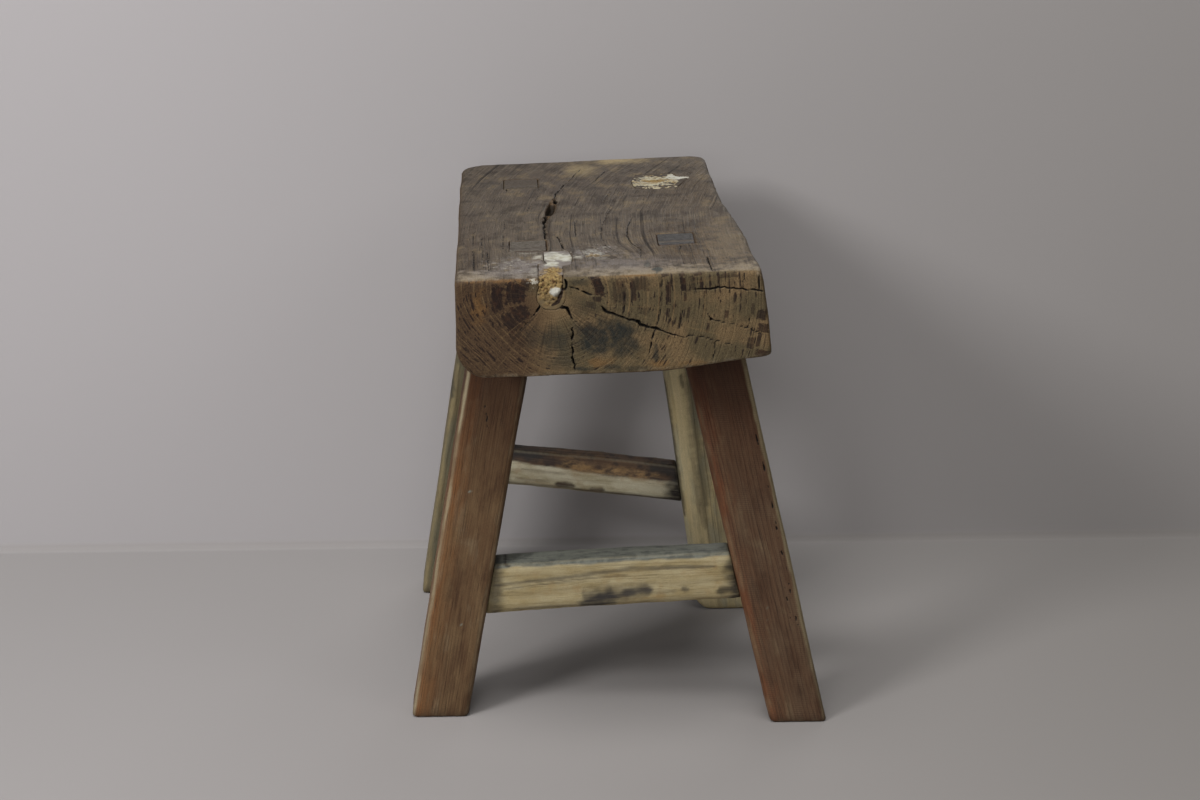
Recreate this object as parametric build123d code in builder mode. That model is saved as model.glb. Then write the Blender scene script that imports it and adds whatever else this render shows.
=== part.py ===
import os

from build123d import *

os.makedirs("parts", exist_ok=True)

# The stool stands on the floor at height zero, with X across it, Y from its front to its rear, and Z up

# Seat slab, one thick block whose top falls to the left
seat_height = 307.5  # at the right front corner, the highest point
seat_top_fall = 5.5  # from the right edge to the left edge
seat_length = 300.0
seat_width = 180.4
seat_offset = -8.6  # middle of the front edge, from the middle between the feet
slab_thickness = 60.8
slab_right_thickness = 53.5
underside_kink_inset = 125.0  # from the left edge, where the underside starts to rise
right_side_lean = 7.2  # how far the right side stands out at its foot
right_side_bulge = 4.6  # how far it already stands out at mid height
wane_width = 16.0  # rounded natural edge at the lower left
wane_height = 20.0
right_taper = 13.4  # the slab narrows towards the rear
left_taper = 0.8
rear_skew = 6.2  # how much shorter the slab is on its left side
top_edge_radius = 2.6
front_corner_radius = 2.2
rear_left_corner_radius = 18.0
rear_right_corner_radius = 12.0

# Stations along the slab: share of its length, then shares of the left and right taper
slab_station_shares = (
    (0.0, 0.0, 0.0),
    (0.31, 0.0, 0.29),
    (0.57, 0.0, 0.81),
    (0.78, 0.0, 0.94),
    (1.0, 1.0, 1.0),
)

# Legs, rectangular and slightly thinner at the foot
leg_head_width = 39.0
leg_head_depth = 34.0
leg_foot_width = 36.0
leg_foot_depth = 32.0
leg_arris_bevel = 1.8
leg_arris_rise_share = 0.5  # least rise of a long edge for its length, which the level edges lack
foot_edge_bevel = 0.8
worn_foot_width = 6.5  # the rear right foot has lost its inner corner
worn_foot_height = 5.0

# Through tenon at the head of each leg
tenon_width = 22.5
tenon_depth = 25.5
tenon_clearance = 0.15
inner_shoulder = 1.2  # the tenon lies close to the inner face of the leg
shoulder_overlap = 4.0

# Where each tenon comes up, in from the slab's side and end, and how far its foot runs out
front_left_side_inset = 44.4
front_left_end_inset = 74.3
front_left_side_splay = 52.4
front_left_end_splay = 10.6

front_right_side_inset = 46.4
front_right_end_inset = 77.5
front_right_side_splay = 71.6
front_right_end_splay = 29.3

rear_left_side_inset = 41.1
rear_left_end_inset = 66.4
rear_left_side_splay = 48.2
rear_left_end_splay = 38.1

rear_right_side_inset = 38.0
rear_right_end_inset = 75.3
rear_right_side_splay = 43.3
rear_right_end_splay = 11.0

# Wedge in each tenon, across the grain of the slab
wedge_thickness = 3.2
wedge_tip_thickness = 0.9
wedge_length = 34.0
wedge_forward = 5.6  # from the middle of the tenon towards the front
kerf_spare_depth = 1.5

# Stretchers, hewn from a branch and tenoned into the legs
stretcher_setback = 5.0  # behind the front faces of the legs
stretcher_tenon_height = 18.0
stretcher_tenon_depth = 11.0
stretcher_tenon_length = 17.0
stretcher_tenon_root = 4.0
stretcher_clearance = 0.15
stretcher_end_clearance = 0.8

front_stretcher_depth = 25.0
front_stretcher_left_height = 34.5
front_stretcher_right_height = 32.0
front_stretcher_left_level = 83.1  # height of its middle at the left shoulder
front_stretcher_right_level = 94.4
front_stretcher_bow = 0.8

rear_stretcher_depth = 26.0
rear_stretcher_left_height = 27.4
rear_stretcher_right_height = 26.7
rear_stretcher_left_level = 96.4
rear_stretcher_right_level = 91.1
rear_stretcher_bow = 0.9

# Stretcher sections as shares of depth and height, from the lower front edge round the top to the rear
front_section_shares = (
    (-0.50, -0.38), (-0.50, 0.40), (-0.42, 0.50), (0.30, 0.50),
    (0.50, 0.28), (0.50, -0.22), (0.26, -0.50), (-0.34, -0.50),
)
rear_section_shares = (
    (-0.46, -0.34), (-0.50, 0.06), (-0.24, 0.44), (0.16, 0.50),
    (0.46, 0.26), (0.50, -0.16), (0.24, -0.50), (-0.26, -0.50),
)

# Stations along a stretcher: share of the span between the legs, then share of the height, depth and bow
stretcher_station_shares = (
    (-0.16, 1.00, 1.00, 0.0),
    (0.24, 0.98, 1.03, 0.7),
    (0.58, 1.02, 0.98, 1.0),
    (1.16, 1.00, 1.00, 0.0),
)

# Broken front edge of the slab, a round-bottomed hollow that runs up to the top behind it
edge_chip_inset = 49.5  # from the left side of the slab
edge_chip_width = 14.1
edge_chip_depth = 20.0
edge_chip_length = 32.0
edge_chip_rear_depth = 3.6
edge_chip_side_height = 6.8  # of its straight sides, above the round bottom

# Shallow hollow behind it on the top, which ends before the front left tenon
edge_patch_inset = 52.8  # from the left side of the slab
edge_patch_end_inset = 22.8
edge_patch_tenon_gap = 2.0
edge_patch_width = 17.2
edge_patch_depth = 2.6
edge_patch_plan_shares = (
    (0.02, 0.53), (0.14, 0.15), (0.55, 0.0), (0.94, 0.16),
    (1.0, 0.58), (0.88, 0.97), (0.46, 1.0), (0.0, 0.97),
)

# Second shallow hollow on the top
top_patch_gap = 5.0  # from the first one
top_patch_end_inset = 34.5
top_patch_width = 22.0
top_patch_length = 36.0
top_patch_depth = 2.4
top_patch_plan_shares = (
    (0.26, 0.07), (0.74, 0.0), (1.0, 0.16), (0.56, 0.58), (0.23, 1.0), (0.0, 0.89), (0.09, 0.43),
)

# Filler over the rear right tenon, which ends below the top of the slab
rear_filler_width = 39.0
rear_filler_length = 39.0
rear_filler_depth = 5.0
rear_filler_left_reach = 14.8  # from the tenon's middle to the filler's left side
rear_filler_front_reach = 16.0
rear_filler_plan_shares = (
    (0.05, 0.06), (0.42, 0.0), (0.76, 0.08), (1.0, 0.68),
    (0.77, 0.76), (0.72, 1.0), (0.09, 0.98), (0.0, 0.5),
)

# Rotten check in the top, running with the grain
check_width = 6.4
check_length = 62.0
check_depth = 14.0
check_tenon_gap = 46.0  # from the rear face of the front left tenon to the front end of the check
check_sidestep = 6.0
check_side_offset = 11.5  # from the middle of the front left tenon
check_floor_share = 0.45  # width and length of its floor against its mouth

overrun = 3.0  # how far every cutting tool runs past the wood

seat_left = seat_offset - seat_width / 2
seat_right = seat_offset + seat_width / 2
seat_front = -seat_length / 2
top_slope = seat_top_fall / seat_width
underside_kink = seat_left + underside_kink_inset
underside_right = seat_right + right_side_lean


def top_height(x):
    return seat_height - (seat_right - x) * top_slope


kink_height = top_height(underside_kink) - slab_thickness
right_underside_height = top_height(underside_right) - slab_right_thickness
right_underside_slope = (right_underside_height - kink_height) / (underside_right - underside_kink)


def underside_height(x):
    if x < underside_kink:
        return top_height(x) - slab_thickness
    return kink_height + (x - underside_kink) * right_underside_slope


top_plane = Plane((0, 0, top_height(0)), x_dir=(1, 0, top_slope), z_dir=(-top_slope, 0, 1))
left_underside_plane = Plane((underside_kink, 0, kink_height), z_dir=(-top_slope, 0, 1))
right_underside_plane = Plane((underside_kink, 0, kink_height), z_dir=(-right_underside_slope, 0, 1))


def level_rectangle(x, y, height, width, depth):
    with BuildSketch(Plane((x, y, height))) as section:
        Rectangle(width, depth)
    return section.sketch


def upright_rectangle(x, y, height, depth, rise):
    with BuildSketch(Plane((x, y, height), x_dir=(0, 1, 0), z_dir=(1, 0, 0))) as section:
        Rectangle(depth, rise)
    return section.sketch


def top_hollow(plan_shares, left, front, width, length, depth):
    # Flat-bottomed hollow in the top of the slab, its outline in shares of its width and length
    with BuildPart() as hollow:
        with BuildSketch(top_plane.offset(-depth)):
            with BuildLine():
                corners = [(left + across * width, front + along * length) for across, along in plan_shares]
                Polyline(corners, close=True)
            make_face()
        extrude(amount=depth + overrun)
    return hollow.part


def slab_profile(station):
    along, left_share, right_share = station
    left = seat_left + left_share * left_taper
    right = seat_right - right_share * right_taper
    wane_foot = left + wane_width
    y = seat_front + along * seat_length
    with BuildSketch(Plane((0, y, 0), x_dir=(1, 0, 0), z_dir=(0, -1, 0))) as profile:
        with BuildLine():
            wane_top = (left, underside_height(left) + wane_height)
            wane_low = (wane_foot, underside_height(wane_foot))
            middle = right + right_side_bulge
            foot = right + right_side_lean
            Polyline(
                wane_top,
                (left, top_height(left)),
                (right, top_height(right)),
                (middle, top_height(right) - slab_right_thickness / 2),
                (foot, underside_height(foot)),
                (underside_kink, kink_height),
                wane_low,
            )
            TangentArc(wane_top, wane_low, tangent=(0, -1))
        make_face()
    return profile.sketch


class Leg:
    def __init__(self, name, side, end, side_inset, end_inset, side_splay, end_splay):
        self.name = name
        self.side = side  # -1 on the left, 1 on the right
        edge = seat_left if side < 0 else seat_right
        if side > 0 and end > 0:
            edge = seat_right - right_taper
        self.tenon_offset = side * ((leg_head_width - tenon_width) / 2 - inner_shoulder)
        self.head_x = edge - side * side_inset + self.tenon_offset
        self.head_y = end * (seat_length / 2 - end_inset)
        self.foot_x = self.head_x + side * side_splay
        self.foot_y = self.head_y + end * end_splay
        self.underside_plane = left_underside_plane if side < 0 else right_underside_plane

    def between(self, foot_value, head_value, height):
        return foot_value + (head_value - foot_value) * height / seat_height

    def x(self, height):
        return self.between(self.foot_x, self.head_x, height)

    def y(self, height):
        return self.between(self.foot_y, self.head_y, height)

    def front(self, height):
        return self.y(height) - self.between(leg_foot_depth, leg_head_depth, height) / 2

    def inner(self, height):
        return self.x(height) - self.side * self.between(leg_foot_width, leg_head_width, height) / 2

    def inner_plane(self):
        # Plane of the inner face, with its normal to the right
        lean = self.inner(seat_height) - self.inner(0)
        return Plane((self.inner(0), 0, 0), x_dir=(0, 1, 0), z_dir=(seat_height, 0, -lean))

    def tenon_section(self, height, extra=0):
        x = self.x(height) - self.tenon_offset
        return level_rectangle(x, self.y(height), height, tenon_width + 2 * extra, tenon_depth + 2 * extra)

    def wedge_section(self, height, thickness):
        x = self.x(height) - self.tenon_offset
        return level_rectangle(x, self.y(height) - wedge_forward, height, tenon_width, thickness)

    def lowest_shoulder(self):
        head = self.x(seat_height)
        return min(underside_height(head - leg_head_width), underside_height(head + leg_head_width))


front_left = Leg(
    "front_left", -1, -1,
    front_left_side_inset, front_left_end_inset, front_left_side_splay, front_left_end_splay,
)
front_right = Leg(
    "front_right", 1, -1,
    front_right_side_inset, front_right_end_inset, front_right_side_splay, front_right_end_splay,
)
rear_left = Leg(
    "rear_left", -1, 1,
    rear_left_side_inset, rear_left_end_inset, rear_left_side_splay, rear_left_end_splay,
)
rear_right = Leg(
    "rear_right", 1, 1,
    rear_right_side_inset, rear_right_end_inset, rear_right_side_splay, rear_right_end_splay,
)
legs = (front_left, front_right, rear_left, rear_right)


class Stretcher:
    def __init__(self, name, left_leg, right_leg, levels, heights, depth, bow, section_shares):
        self.name = name
        self.left_leg = left_leg
        self.right_leg = right_leg
        self.heights = heights
        self.depth = depth
        self.bow = bow
        self.section_shares = section_shares
        inset = stretcher_setback + depth / 2
        self.start = Vector(left_leg.inner(levels[0]), left_leg.front(levels[0]) + inset, levels[0])
        self.finish = Vector(right_leg.inner(levels[1]), right_leg.front(levels[1]) + inset, levels[1])

    def point(self, along):
        return self.start + (self.finish - self.start) * along

    def reach(self, length):
        # Share of the span that a length measured along X stands for
        return length / (self.finish.X - self.start.X)

    def section(self, station):
        along, height_share, depth_share, bow_share = station
        centre = self.point(along)
        height = (self.heights[0] + (self.heights[1] - self.heights[0]) * along) * height_share
        depth = self.depth * depth_share
        plane = Plane(
            (centre.X, centre.Y, centre.Z + self.bow * bow_share), x_dir=(0, 1, 0), z_dir=(1, 0, 0)
        )
        with BuildSketch(plane) as outline:
            with BuildLine():
                Polyline([(across * depth, up * height) for across, up in self.section_shares], close=True)
            make_face()
        return outline.sketch

    def tenon_section(self, along, extra=0):
        centre = self.point(along)
        return upright_rectangle(
            centre.X, centre.Y, centre.Z,
            stretcher_tenon_depth + 2 * extra, stretcher_tenon_height + 2 * extra,
        )

    def tenon_ends(self):
        # Root and tip of each tenon, as shares of the span
        root = self.reach(stretcher_tenon_root)
        tip = self.reach(stretcher_tenon_length)
        return (root, -tip), (1 - root, 1 + tip)


front_rail = Stretcher(
    "front_stretcher", front_left, front_right,
    (front_stretcher_left_level, front_stretcher_right_level),
    (front_stretcher_left_height, front_stretcher_right_height),
    front_stretcher_depth, front_stretcher_bow, front_section_shares,
)
rear_rail = Stretcher(
    "rear_stretcher", rear_left, rear_right,
    (rear_stretcher_left_level, rear_stretcher_right_level),
    (rear_stretcher_left_height, rear_stretcher_right_height),
    rear_stretcher_depth, rear_stretcher_bow, rear_section_shares,
)
stretchers = (front_rail, rear_rail)


def steep_edges(face):
    return face.edges().filter_by(lambda edge: abs(edge.tangent_at(0).Z) > abs(edge.tangent_at(0).X))


# Seat slab before anything is cut into it
with BuildPart() as slab_blank:
    loft(sections=[slab_profile(station) for station in slab_station_shares], ruled=True)
    rear_right_foot = (seat_right - right_taper + right_side_lean, seat_length / 2, 0)
    split(bisect_by=Plane(rear_right_foot, z_dir=(-rear_skew, seat_width, 0)), keep=Keep.BOTTOM)
    rear_corners = steep_edges(slab_blank.faces().sort_by(Axis.Y)[-1])
    fillet([edge for edge in rear_corners if edge.center().X < seat_offset], rear_left_corner_radius)
    fillet([edge for edge in rear_corners if edge.center().X > seat_offset], rear_right_corner_radius)
    fillet(steep_edges(slab_blank.faces().sort_by(Axis.Y)[0]), front_corner_radius)
    fillet(slab_blank.faces().sort_by(Axis.Z)[-1].edges(), top_edge_radius)

# Hollow of the broken front edge with the shallow hollow behind it
edge_patch_left = seat_left + edge_patch_inset
edge_patch_front = seat_front + edge_patch_end_inset
edge_patch_rear = front_left.y(seat_height) - tenon_depth / 2 - edge_patch_tenon_gap
edge_chip_left = seat_left + edge_chip_inset
edge_chip_middle = edge_chip_left + edge_chip_width / 2
edge_chip_right = edge_chip_left + edge_chip_width
edge_chip_top = top_height(edge_chip_middle)
edge_chip_start = seat_front - overrun
edge_chip_rear = seat_front + edge_chip_length
with BuildPart() as edge_hollow:
    with BuildSketch(Plane((0, edge_chip_start, edge_chip_top), x_dir=(1, 0, 0), z_dir=(0, -1, 0))):
        with BuildLine():
            left_foot = (edge_chip_left, -edge_chip_side_height)
            right_foot = (edge_chip_right, -edge_chip_side_height)
            Polyline(left_foot, (edge_chip_left, overrun), (edge_chip_right, overrun), right_foot)
            ThreePointArc(left_foot, (edge_chip_middle, -edge_chip_depth), right_foot)
        make_face()
    extrude(amount=-(edge_chip_length + overrun))
    with BuildSketch(Plane((edge_chip_middle, 0, edge_chip_top), x_dir=(0, 1, 0), z_dir=(1, 0, 0))):
        with BuildLine():
            Polyline(
                (edge_chip_start, overrun),
                (edge_chip_start, -edge_chip_depth),
                (seat_front, -edge_chip_depth),
                (edge_chip_rear, -edge_chip_rear_depth),
                (edge_chip_rear, overrun),
                close=True,
            )
        make_face()
    extrude(amount=edge_chip_width, both=True, mode=Mode.INTERSECT)
    add(top_hollow(
        edge_patch_plan_shares, edge_patch_left, edge_patch_front,
        edge_patch_width, edge_patch_rear - edge_patch_front, edge_patch_depth,
    ))

# Second shallow hollow, and the one over the rear right tenon
patch_hollow = top_hollow(
    top_patch_plan_shares,
    edge_patch_left + edge_patch_width + top_patch_gap,
    seat_front + top_patch_end_inset,
    top_patch_width, top_patch_length, top_patch_depth,
)
rear_hollow = top_hollow(
    rear_filler_plan_shares,
    rear_right.x(seat_height) - rear_right.tenon_offset - rear_filler_left_reach,
    rear_right.y(seat_height) - rear_filler_front_reach,
    rear_filler_width, rear_filler_length, rear_filler_depth,
)

# Rotten check, narrower at its floor
check_x = front_left.x(seat_height) - front_left.tenon_offset + check_side_offset
check_front = front_left.y(seat_height) + tenon_depth / 2 + check_tenon_gap


def check_outline(height, share):
    middle_x = check_x + check_sidestep / 2
    middle_y = check_front + check_length / 2
    front_end = (middle_x - share * check_sidestep / 2, middle_y - share * check_length / 2)
    rear_end = (middle_x + share * check_sidestep / 2, middle_y + share * check_length / 2)
    half_width = share * check_width / 2
    with BuildSketch(Plane.XY.offset(height)) as outline:
        with BuildLine():
            ThreePointArc(front_end, (middle_x - half_width, middle_y), rear_end)
            ThreePointArc(rear_end, (middle_x + half_width, middle_y), front_end)
        make_face()
    return outline.sketch


# Seat slab
with BuildPart() as seat_slab:
    add(slab_blank.part)
    for leg in legs:
        mouth = leg.tenon_section(seat_height + overrun, tenon_clearance)
        entry = leg.tenon_section(leg.lowest_shoulder() - overrun, tenon_clearance)
        loft(sections=[entry, mouth], ruled=True, mode=Mode.SUBTRACT)
    for hollow in (edge_hollow.part, patch_hollow, rear_hollow):
        add(hollow, mode=Mode.SUBTRACT)
    check_top = top_height(check_x + check_sidestep) + overrun
    check_bottom = check_top - overrun - check_depth
    loft(
        sections=[check_outline(check_bottom, check_floor_share), check_outline(check_top, 1.0)],
        ruled=True,
        mode=Mode.SUBTRACT,
    )
seat_slab.part.label = "seat_slab"
export_step(seat_slab.part, "parts/seat_slab.step")

# Fillers, each the wood's own missing shape
for name, hollow in (
    ("front_edge_filler", edge_hollow.part),
    ("top_patch_filler", patch_hollow),
    ("rear_tenon_filler", rear_hollow),
):
    with BuildPart() as filler:
        add(slab_blank.part)
        add(hollow, mode=Mode.INTERSECT)
    filler.part.label = name
    export_step(filler.part, f"parts/{name}.step")

# Legs, with their wedges
for leg in legs:
    tenon_end_plane = top_plane.offset(-rear_filler_depth) if leg is rear_right else top_plane
    wedge_sections = [
        leg.wedge_section(seat_height - wedge_length, wedge_tip_thickness),
        leg.wedge_section(seat_height, wedge_thickness),
    ]
    with BuildPart() as leg_part:
        loft(
            sections=[
                level_rectangle(leg.foot_x, leg.foot_y, 0, leg_foot_width, leg_foot_depth),
                level_rectangle(leg.head_x, leg.head_y, seat_height, leg_head_width, leg_head_depth),
            ],
            ruled=True,
        )
        arrises = leg_part.edges().filter_by(lambda edge: abs(edge.tangent_at(0).Z) > leg_arris_rise_share)
        chamfer(arrises, leg_arris_bevel)
        chamfer(leg_part.faces().sort_by(Axis.Z)[0].edges(), foot_edge_bevel)
        split(bisect_by=leg.underside_plane, keep=Keep.BOTTOM)
        tenon_root = leg.lowest_shoulder() - shoulder_overlap
        loft(sections=[leg.tenon_section(tenon_root), leg.tenon_section(seat_height)], ruled=True)
        split(bisect_by=tenon_end_plane, keep=Keep.BOTTOM)
        loft(sections=wedge_sections, ruled=True, mode=Mode.SUBTRACT)
        kerf_end = seat_height - wedge_length - kerf_spare_depth
        loft(
            sections=[
                leg.wedge_section(kerf_end, wedge_tip_thickness),
                leg.wedge_section(seat_height - wedge_length, wedge_tip_thickness),
            ],
            ruled=True,
            mode=Mode.SUBTRACT,
        )
        for stretcher in stretchers:
            if leg in (stretcher.left_leg, stretcher.right_leg):
                root, tip = stretcher.tenon_ends()[leg.side > 0]
                spare = stretcher.reach(stretcher_end_clearance) * leg.side
                loft(
                    sections=[
                        stretcher.tenon_section(root, stretcher_clearance),
                        stretcher.tenon_section(tip + spare, stretcher_clearance),
                    ],
                    ruled=True,
                    mode=Mode.SUBTRACT,
                )
        if leg is rear_right:
            with BuildSketch(Plane((0, leg.foot_y - leg_foot_depth, 0), x_dir=(1, 0, 0), z_dir=(0, -1, 0))):
                with BuildLine():
                    Polyline(
                        (leg.inner(0) - overrun, 0),
                        (leg.inner(0) + worn_foot_width, 0),
                        (leg.inner(0), worn_foot_height),
                        (leg.inner(0) - overrun, worn_foot_height),
                        close=True,
                    )
                make_face()
            extrude(amount=-2 * leg_foot_depth, mode=Mode.SUBTRACT)
    leg_part.part.label = f"{leg.name}_leg"
    export_step(leg_part.part, f"parts/{leg.name}_leg.step")

    with BuildPart() as wedge:
        loft(sections=wedge_sections, ruled=True)
        split(bisect_by=tenon_end_plane, keep=Keep.BOTTOM)
    wedge.part.label = f"{leg.name}_wedge"
    export_step(wedge.part, f"parts/{leg.name}_wedge.step")

# Stretchers, trimmed to the inner faces of the legs and tenoned into them
for stretcher in stretchers:
    with BuildPart() as rail:
        loft(sections=[stretcher.section(station) for station in stretcher_station_shares], ruled=True)
        split(bisect_by=stretcher.left_leg.inner_plane(), keep=Keep.TOP)
        split(bisect_by=stretcher.right_leg.inner_plane(), keep=Keep.BOTTOM)
        for root, tip in stretcher.tenon_ends():
            loft(sections=[stretcher.tenon_section(root), stretcher.tenon_section(tip)], ruled=True)
    rail.part.label = stretcher.name
    export_step(rail.part, f"parts/{stretcher.name}.step")
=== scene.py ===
import math

import bmesh
import bpy
import numpy as np
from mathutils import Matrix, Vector, noise
from mathutils.bvhtree import BVHTree


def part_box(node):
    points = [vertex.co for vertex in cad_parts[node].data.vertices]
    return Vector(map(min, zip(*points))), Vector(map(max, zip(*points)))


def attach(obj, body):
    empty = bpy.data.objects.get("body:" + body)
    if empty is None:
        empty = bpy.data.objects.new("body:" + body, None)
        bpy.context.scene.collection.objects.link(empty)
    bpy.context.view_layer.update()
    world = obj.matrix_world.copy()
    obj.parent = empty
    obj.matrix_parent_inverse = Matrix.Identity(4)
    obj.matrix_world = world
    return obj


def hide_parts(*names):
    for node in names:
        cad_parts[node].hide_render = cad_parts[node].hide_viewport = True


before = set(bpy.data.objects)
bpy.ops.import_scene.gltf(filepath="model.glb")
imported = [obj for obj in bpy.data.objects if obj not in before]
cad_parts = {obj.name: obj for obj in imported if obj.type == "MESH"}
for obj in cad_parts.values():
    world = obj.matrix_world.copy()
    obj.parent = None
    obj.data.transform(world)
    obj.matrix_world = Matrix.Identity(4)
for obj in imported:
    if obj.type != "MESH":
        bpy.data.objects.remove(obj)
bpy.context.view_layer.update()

scene = bpy.context.scene
metre = 1000.0  # sizes in this script are in millimetres and turn into metres here
print("frame loaded:", len(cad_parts), "solids")


# Small tools for meshes

def readRows(items, name, width=3, kind=float):
    rows = np.empty(len(items) * width, kind)
    items.foreach_get(name, rows)
    return rows.reshape(-1, width)


def readPoints(piece):
    return readRows(piece.data.vertices, "co") * metre


def readNormals(piece):
    return readRows(piece.data.vertices, "normal")


def readEdges(piece):
    return readRows(piece.data.edges, "vertices", 2, int)


def faceCentres(piece):
    return readRows(piece.data.polygons, "center") * metre


def writePoints(piece, points):
    piece.data.vertices.foreach_set("co", (points / metre).astype(np.float32).ravel())
    piece.data.update()


def keepValues(piece, **layers):
    # stores values at the points, for the materials to read by name
    for name, values in layers.items():
        values = np.asarray(values, np.float32)
        kind, field = ("FLOAT_VECTOR", "vector") if values.ndim > 1 else ("FLOAT", "value")
        piece.data.attributes.new(name, kind, "POINT").data.foreach_set(field, values.ravel())


def dress(piece, material):
    piece.data.materials.clear()
    piece.data.materials.append(material)


def fieldNoise(points, size, shift=0.0, octaves=2):
    # smooth noise from -1 to 1 whose lumps are about one size across
    return np.array([
        noise.fractal(Vector(point) / size + Vector((shift, -shift, shift)), 0.8, 2.0, octaves)
        for point in points
    ])


def relax(points, pairs, weights, rounds):
    # pulls each point towards the middle of its neighbours by its own weight
    ends = np.concatenate([pairs[:, 0], pairs[:, 1]])
    others = np.concatenate([pairs[:, 1], pairs[:, 0]])
    count = np.maximum(np.bincount(ends, minlength=len(points)), 1)
    for _ in range(rounds):
        middle = np.stack([
            np.bincount(ends, weights=points[others, axis], minlength=len(points)) / count
            for axis in range(3)
        ], axis=1)
        points = points + (middle - points) * weights[:, None]
    return points


def within(points, line, reach):
    # which points lie in the box round a run of points
    low, high = line.min(axis=0) - reach, line.max(axis=0) + reach
    return np.where(((points > low) & (points < high)).all(axis=1))[0]


def smoothStep(values, low, high):
    share = np.clip((values - low) / (high - low), 0, 1)
    return share * share * (3 - 2 * share)


def lineDistance(points, line):
    # distance from each point to a run of points, and how far along the run its foot lies, from 0 to 1
    line = np.asarray(line, float)
    lengths = np.linalg.norm(np.diff(line, axis=0), axis=1)
    starts = np.concatenate([[0], np.cumsum(lengths)])
    best = np.full(len(points), 1e9)
    along = np.zeros(len(points))
    for index, length in enumerate(lengths):
        step = line[index + 1] - line[index]
        share = np.clip(((points - line[index]) @ step) / max(length * length, 1e-9), 0, 1)
        distance = np.linalg.norm(points - line[index] - share[:, None] * step, axis=1)
        nearer = distance < best
        best[nearer] = distance[nearer]
        along[nearer] = (starts[index] + share[nearer] * length) / starts[-1]
    return best, along


def sharpLines(shell, least=25.0):
    # the solid's outward corners, as points along each edge
    found = []
    for edge in shell.edges:
        outward = len(edge.link_faces) == 2 and edge.is_convex
        if not outward or edge.calc_face_angle(0) <= math.radians(least):
            continue
        start, end = (np.array(vert.co) * metre for vert in edge.verts)
        steps = max(2, int(np.linalg.norm(end - start) / 1.5) + 1)
        found += [start + (end - start) * share for share in np.linspace(0, 1, steps)]
    return np.array(found)


def nearestGap(points, targets, cell=8.0):
    # distance to the nearest target, exact within one cell
    gap = np.full(len(points), cell)
    if len(targets) == 0:
        return gap
    keys = {}
    for index, key in enumerate(map(tuple, np.floor(targets / cell).astype(int))):
        keys.setdefault(key, []).append(index)
    rows = {}
    for index, key in enumerate(map(tuple, np.floor(points / cell).astype(int))):
        rows.setdefault(key, []).append(index)
    steps = [(i, j, k) for i in (-1, 0, 1) for j in (-1, 0, 1) for k in (-1, 0, 1)]
    for (x, y, z), members in rows.items():
        near = [n for i, j, k in steps for n in keys.get((x + i, y + j, z + k), ())]
        if near:
            apart = np.linalg.norm(points[members][:, None] - targets[near][None], axis=2).min(axis=1)
            gap[members] = np.minimum(gap[members], apart)
    return gap


def cornerShare(points, corners, reach):
    # 1 on a corner, less beside it, and 0 from reach on
    return np.clip(1 - nearestGap(points, corners) / reach, 0, 1)


def fineCopy(nodeName, voxel, finerAt=None):
    # an even mesh of a solid, laid back on the solid's own faces; finerAt picks corners for a finer mesh
    shell = bmesh.new()
    shell.from_mesh(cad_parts[nodeName].data)
    bmesh.ops.remove_doubles(shell, verts=shell.verts, dist=1e-6)
    bmesh.ops.recalc_face_normals(shell, faces=shell.faces)
    tree = BVHTree.FromBMesh(shell)
    corners = sharpLines(shell)
    mesh = bpy.data.meshes.new(nodeName + "_wood")
    shell.to_mesh(mesh)
    shell.free()
    piece = bpy.data.objects.new(nodeName + "_wood", mesh)
    scene.collection.objects.link(piece)
    remesh = piece.modifiers.new("evenMesh", "REMESH")
    remesh.mode = "VOXEL"
    remesh.voxel_size = voxel / metre
    graph = bpy.context.evaluated_depsgraph_get()
    even = bpy.data.meshes.new_from_object(piece.evaluated_get(graph))
    piece.modifiers.clear()
    piece.data = even
    if finerAt is not None:
        picked = corners[finerAt(corners)]
        splitFaces(piece, nearestGap(faceCentres(piece), picked) < 2.2)
    points = readPoints(piece)
    for index, point in enumerate(points):
        points[index] = np.array(tree.find_nearest(Vector(point) / metre)[0]) * metre
    writePoints(piece, points)
    even.polygons.foreach_set("use_smooth", [True] * len(even.polygons))
    return piece, tree, corners


def splitFaces(piece, chosen):
    # splits each chosen face in four
    shell = bmesh.new()
    shell.from_mesh(piece.data)
    shell.faces.ensure_lookup_table()
    shell.edges.index_update()
    edges = {edge for index in np.where(chosen)[0] for edge in shell.faces[index].edges}
    edges = sorted(edges, key=lambda edge: edge.index)
    bmesh.ops.subdivide_edges(shell, edges=edges, cuts=1, use_grid_fill=True)
    bmesh.ops.triangulate(shell, faces=[face for face in shell.faces if len(face.verts) > 4])
    for face in shell.faces:
        face.smooth = True
    shell.to_mesh(piece.data)
    shell.free()


def solidNormals(points, tree):
    return np.array([tree.find_nearest(Vector(point) / metre)[1] for point in points])


def wearCorners(piece, corners, reach, rounds, patchSize, shift, base=0.35, spare=None):
    # rounds the corners, more in some places than in others; spare gives the share kept at each point
    points = readPoints(piece)
    uneven = np.clip(base + (1 - base) * (0.5 + fieldNoise(points, patchSize, shift)), 0.15, 1)
    weights = cornerShare(points, corners, reach) * uneven
    if spare is not None:
        weights = weights * (1 - spare(points))
    writePoints(piece, relax(points, readEdges(piece), weights, rounds))


# Share: all cracks, narrower or wider together; seed: where they wander
crackLook = {"share": 0.72, "seed": 4}
noise.seed_set(crackLook["seed"])


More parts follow.
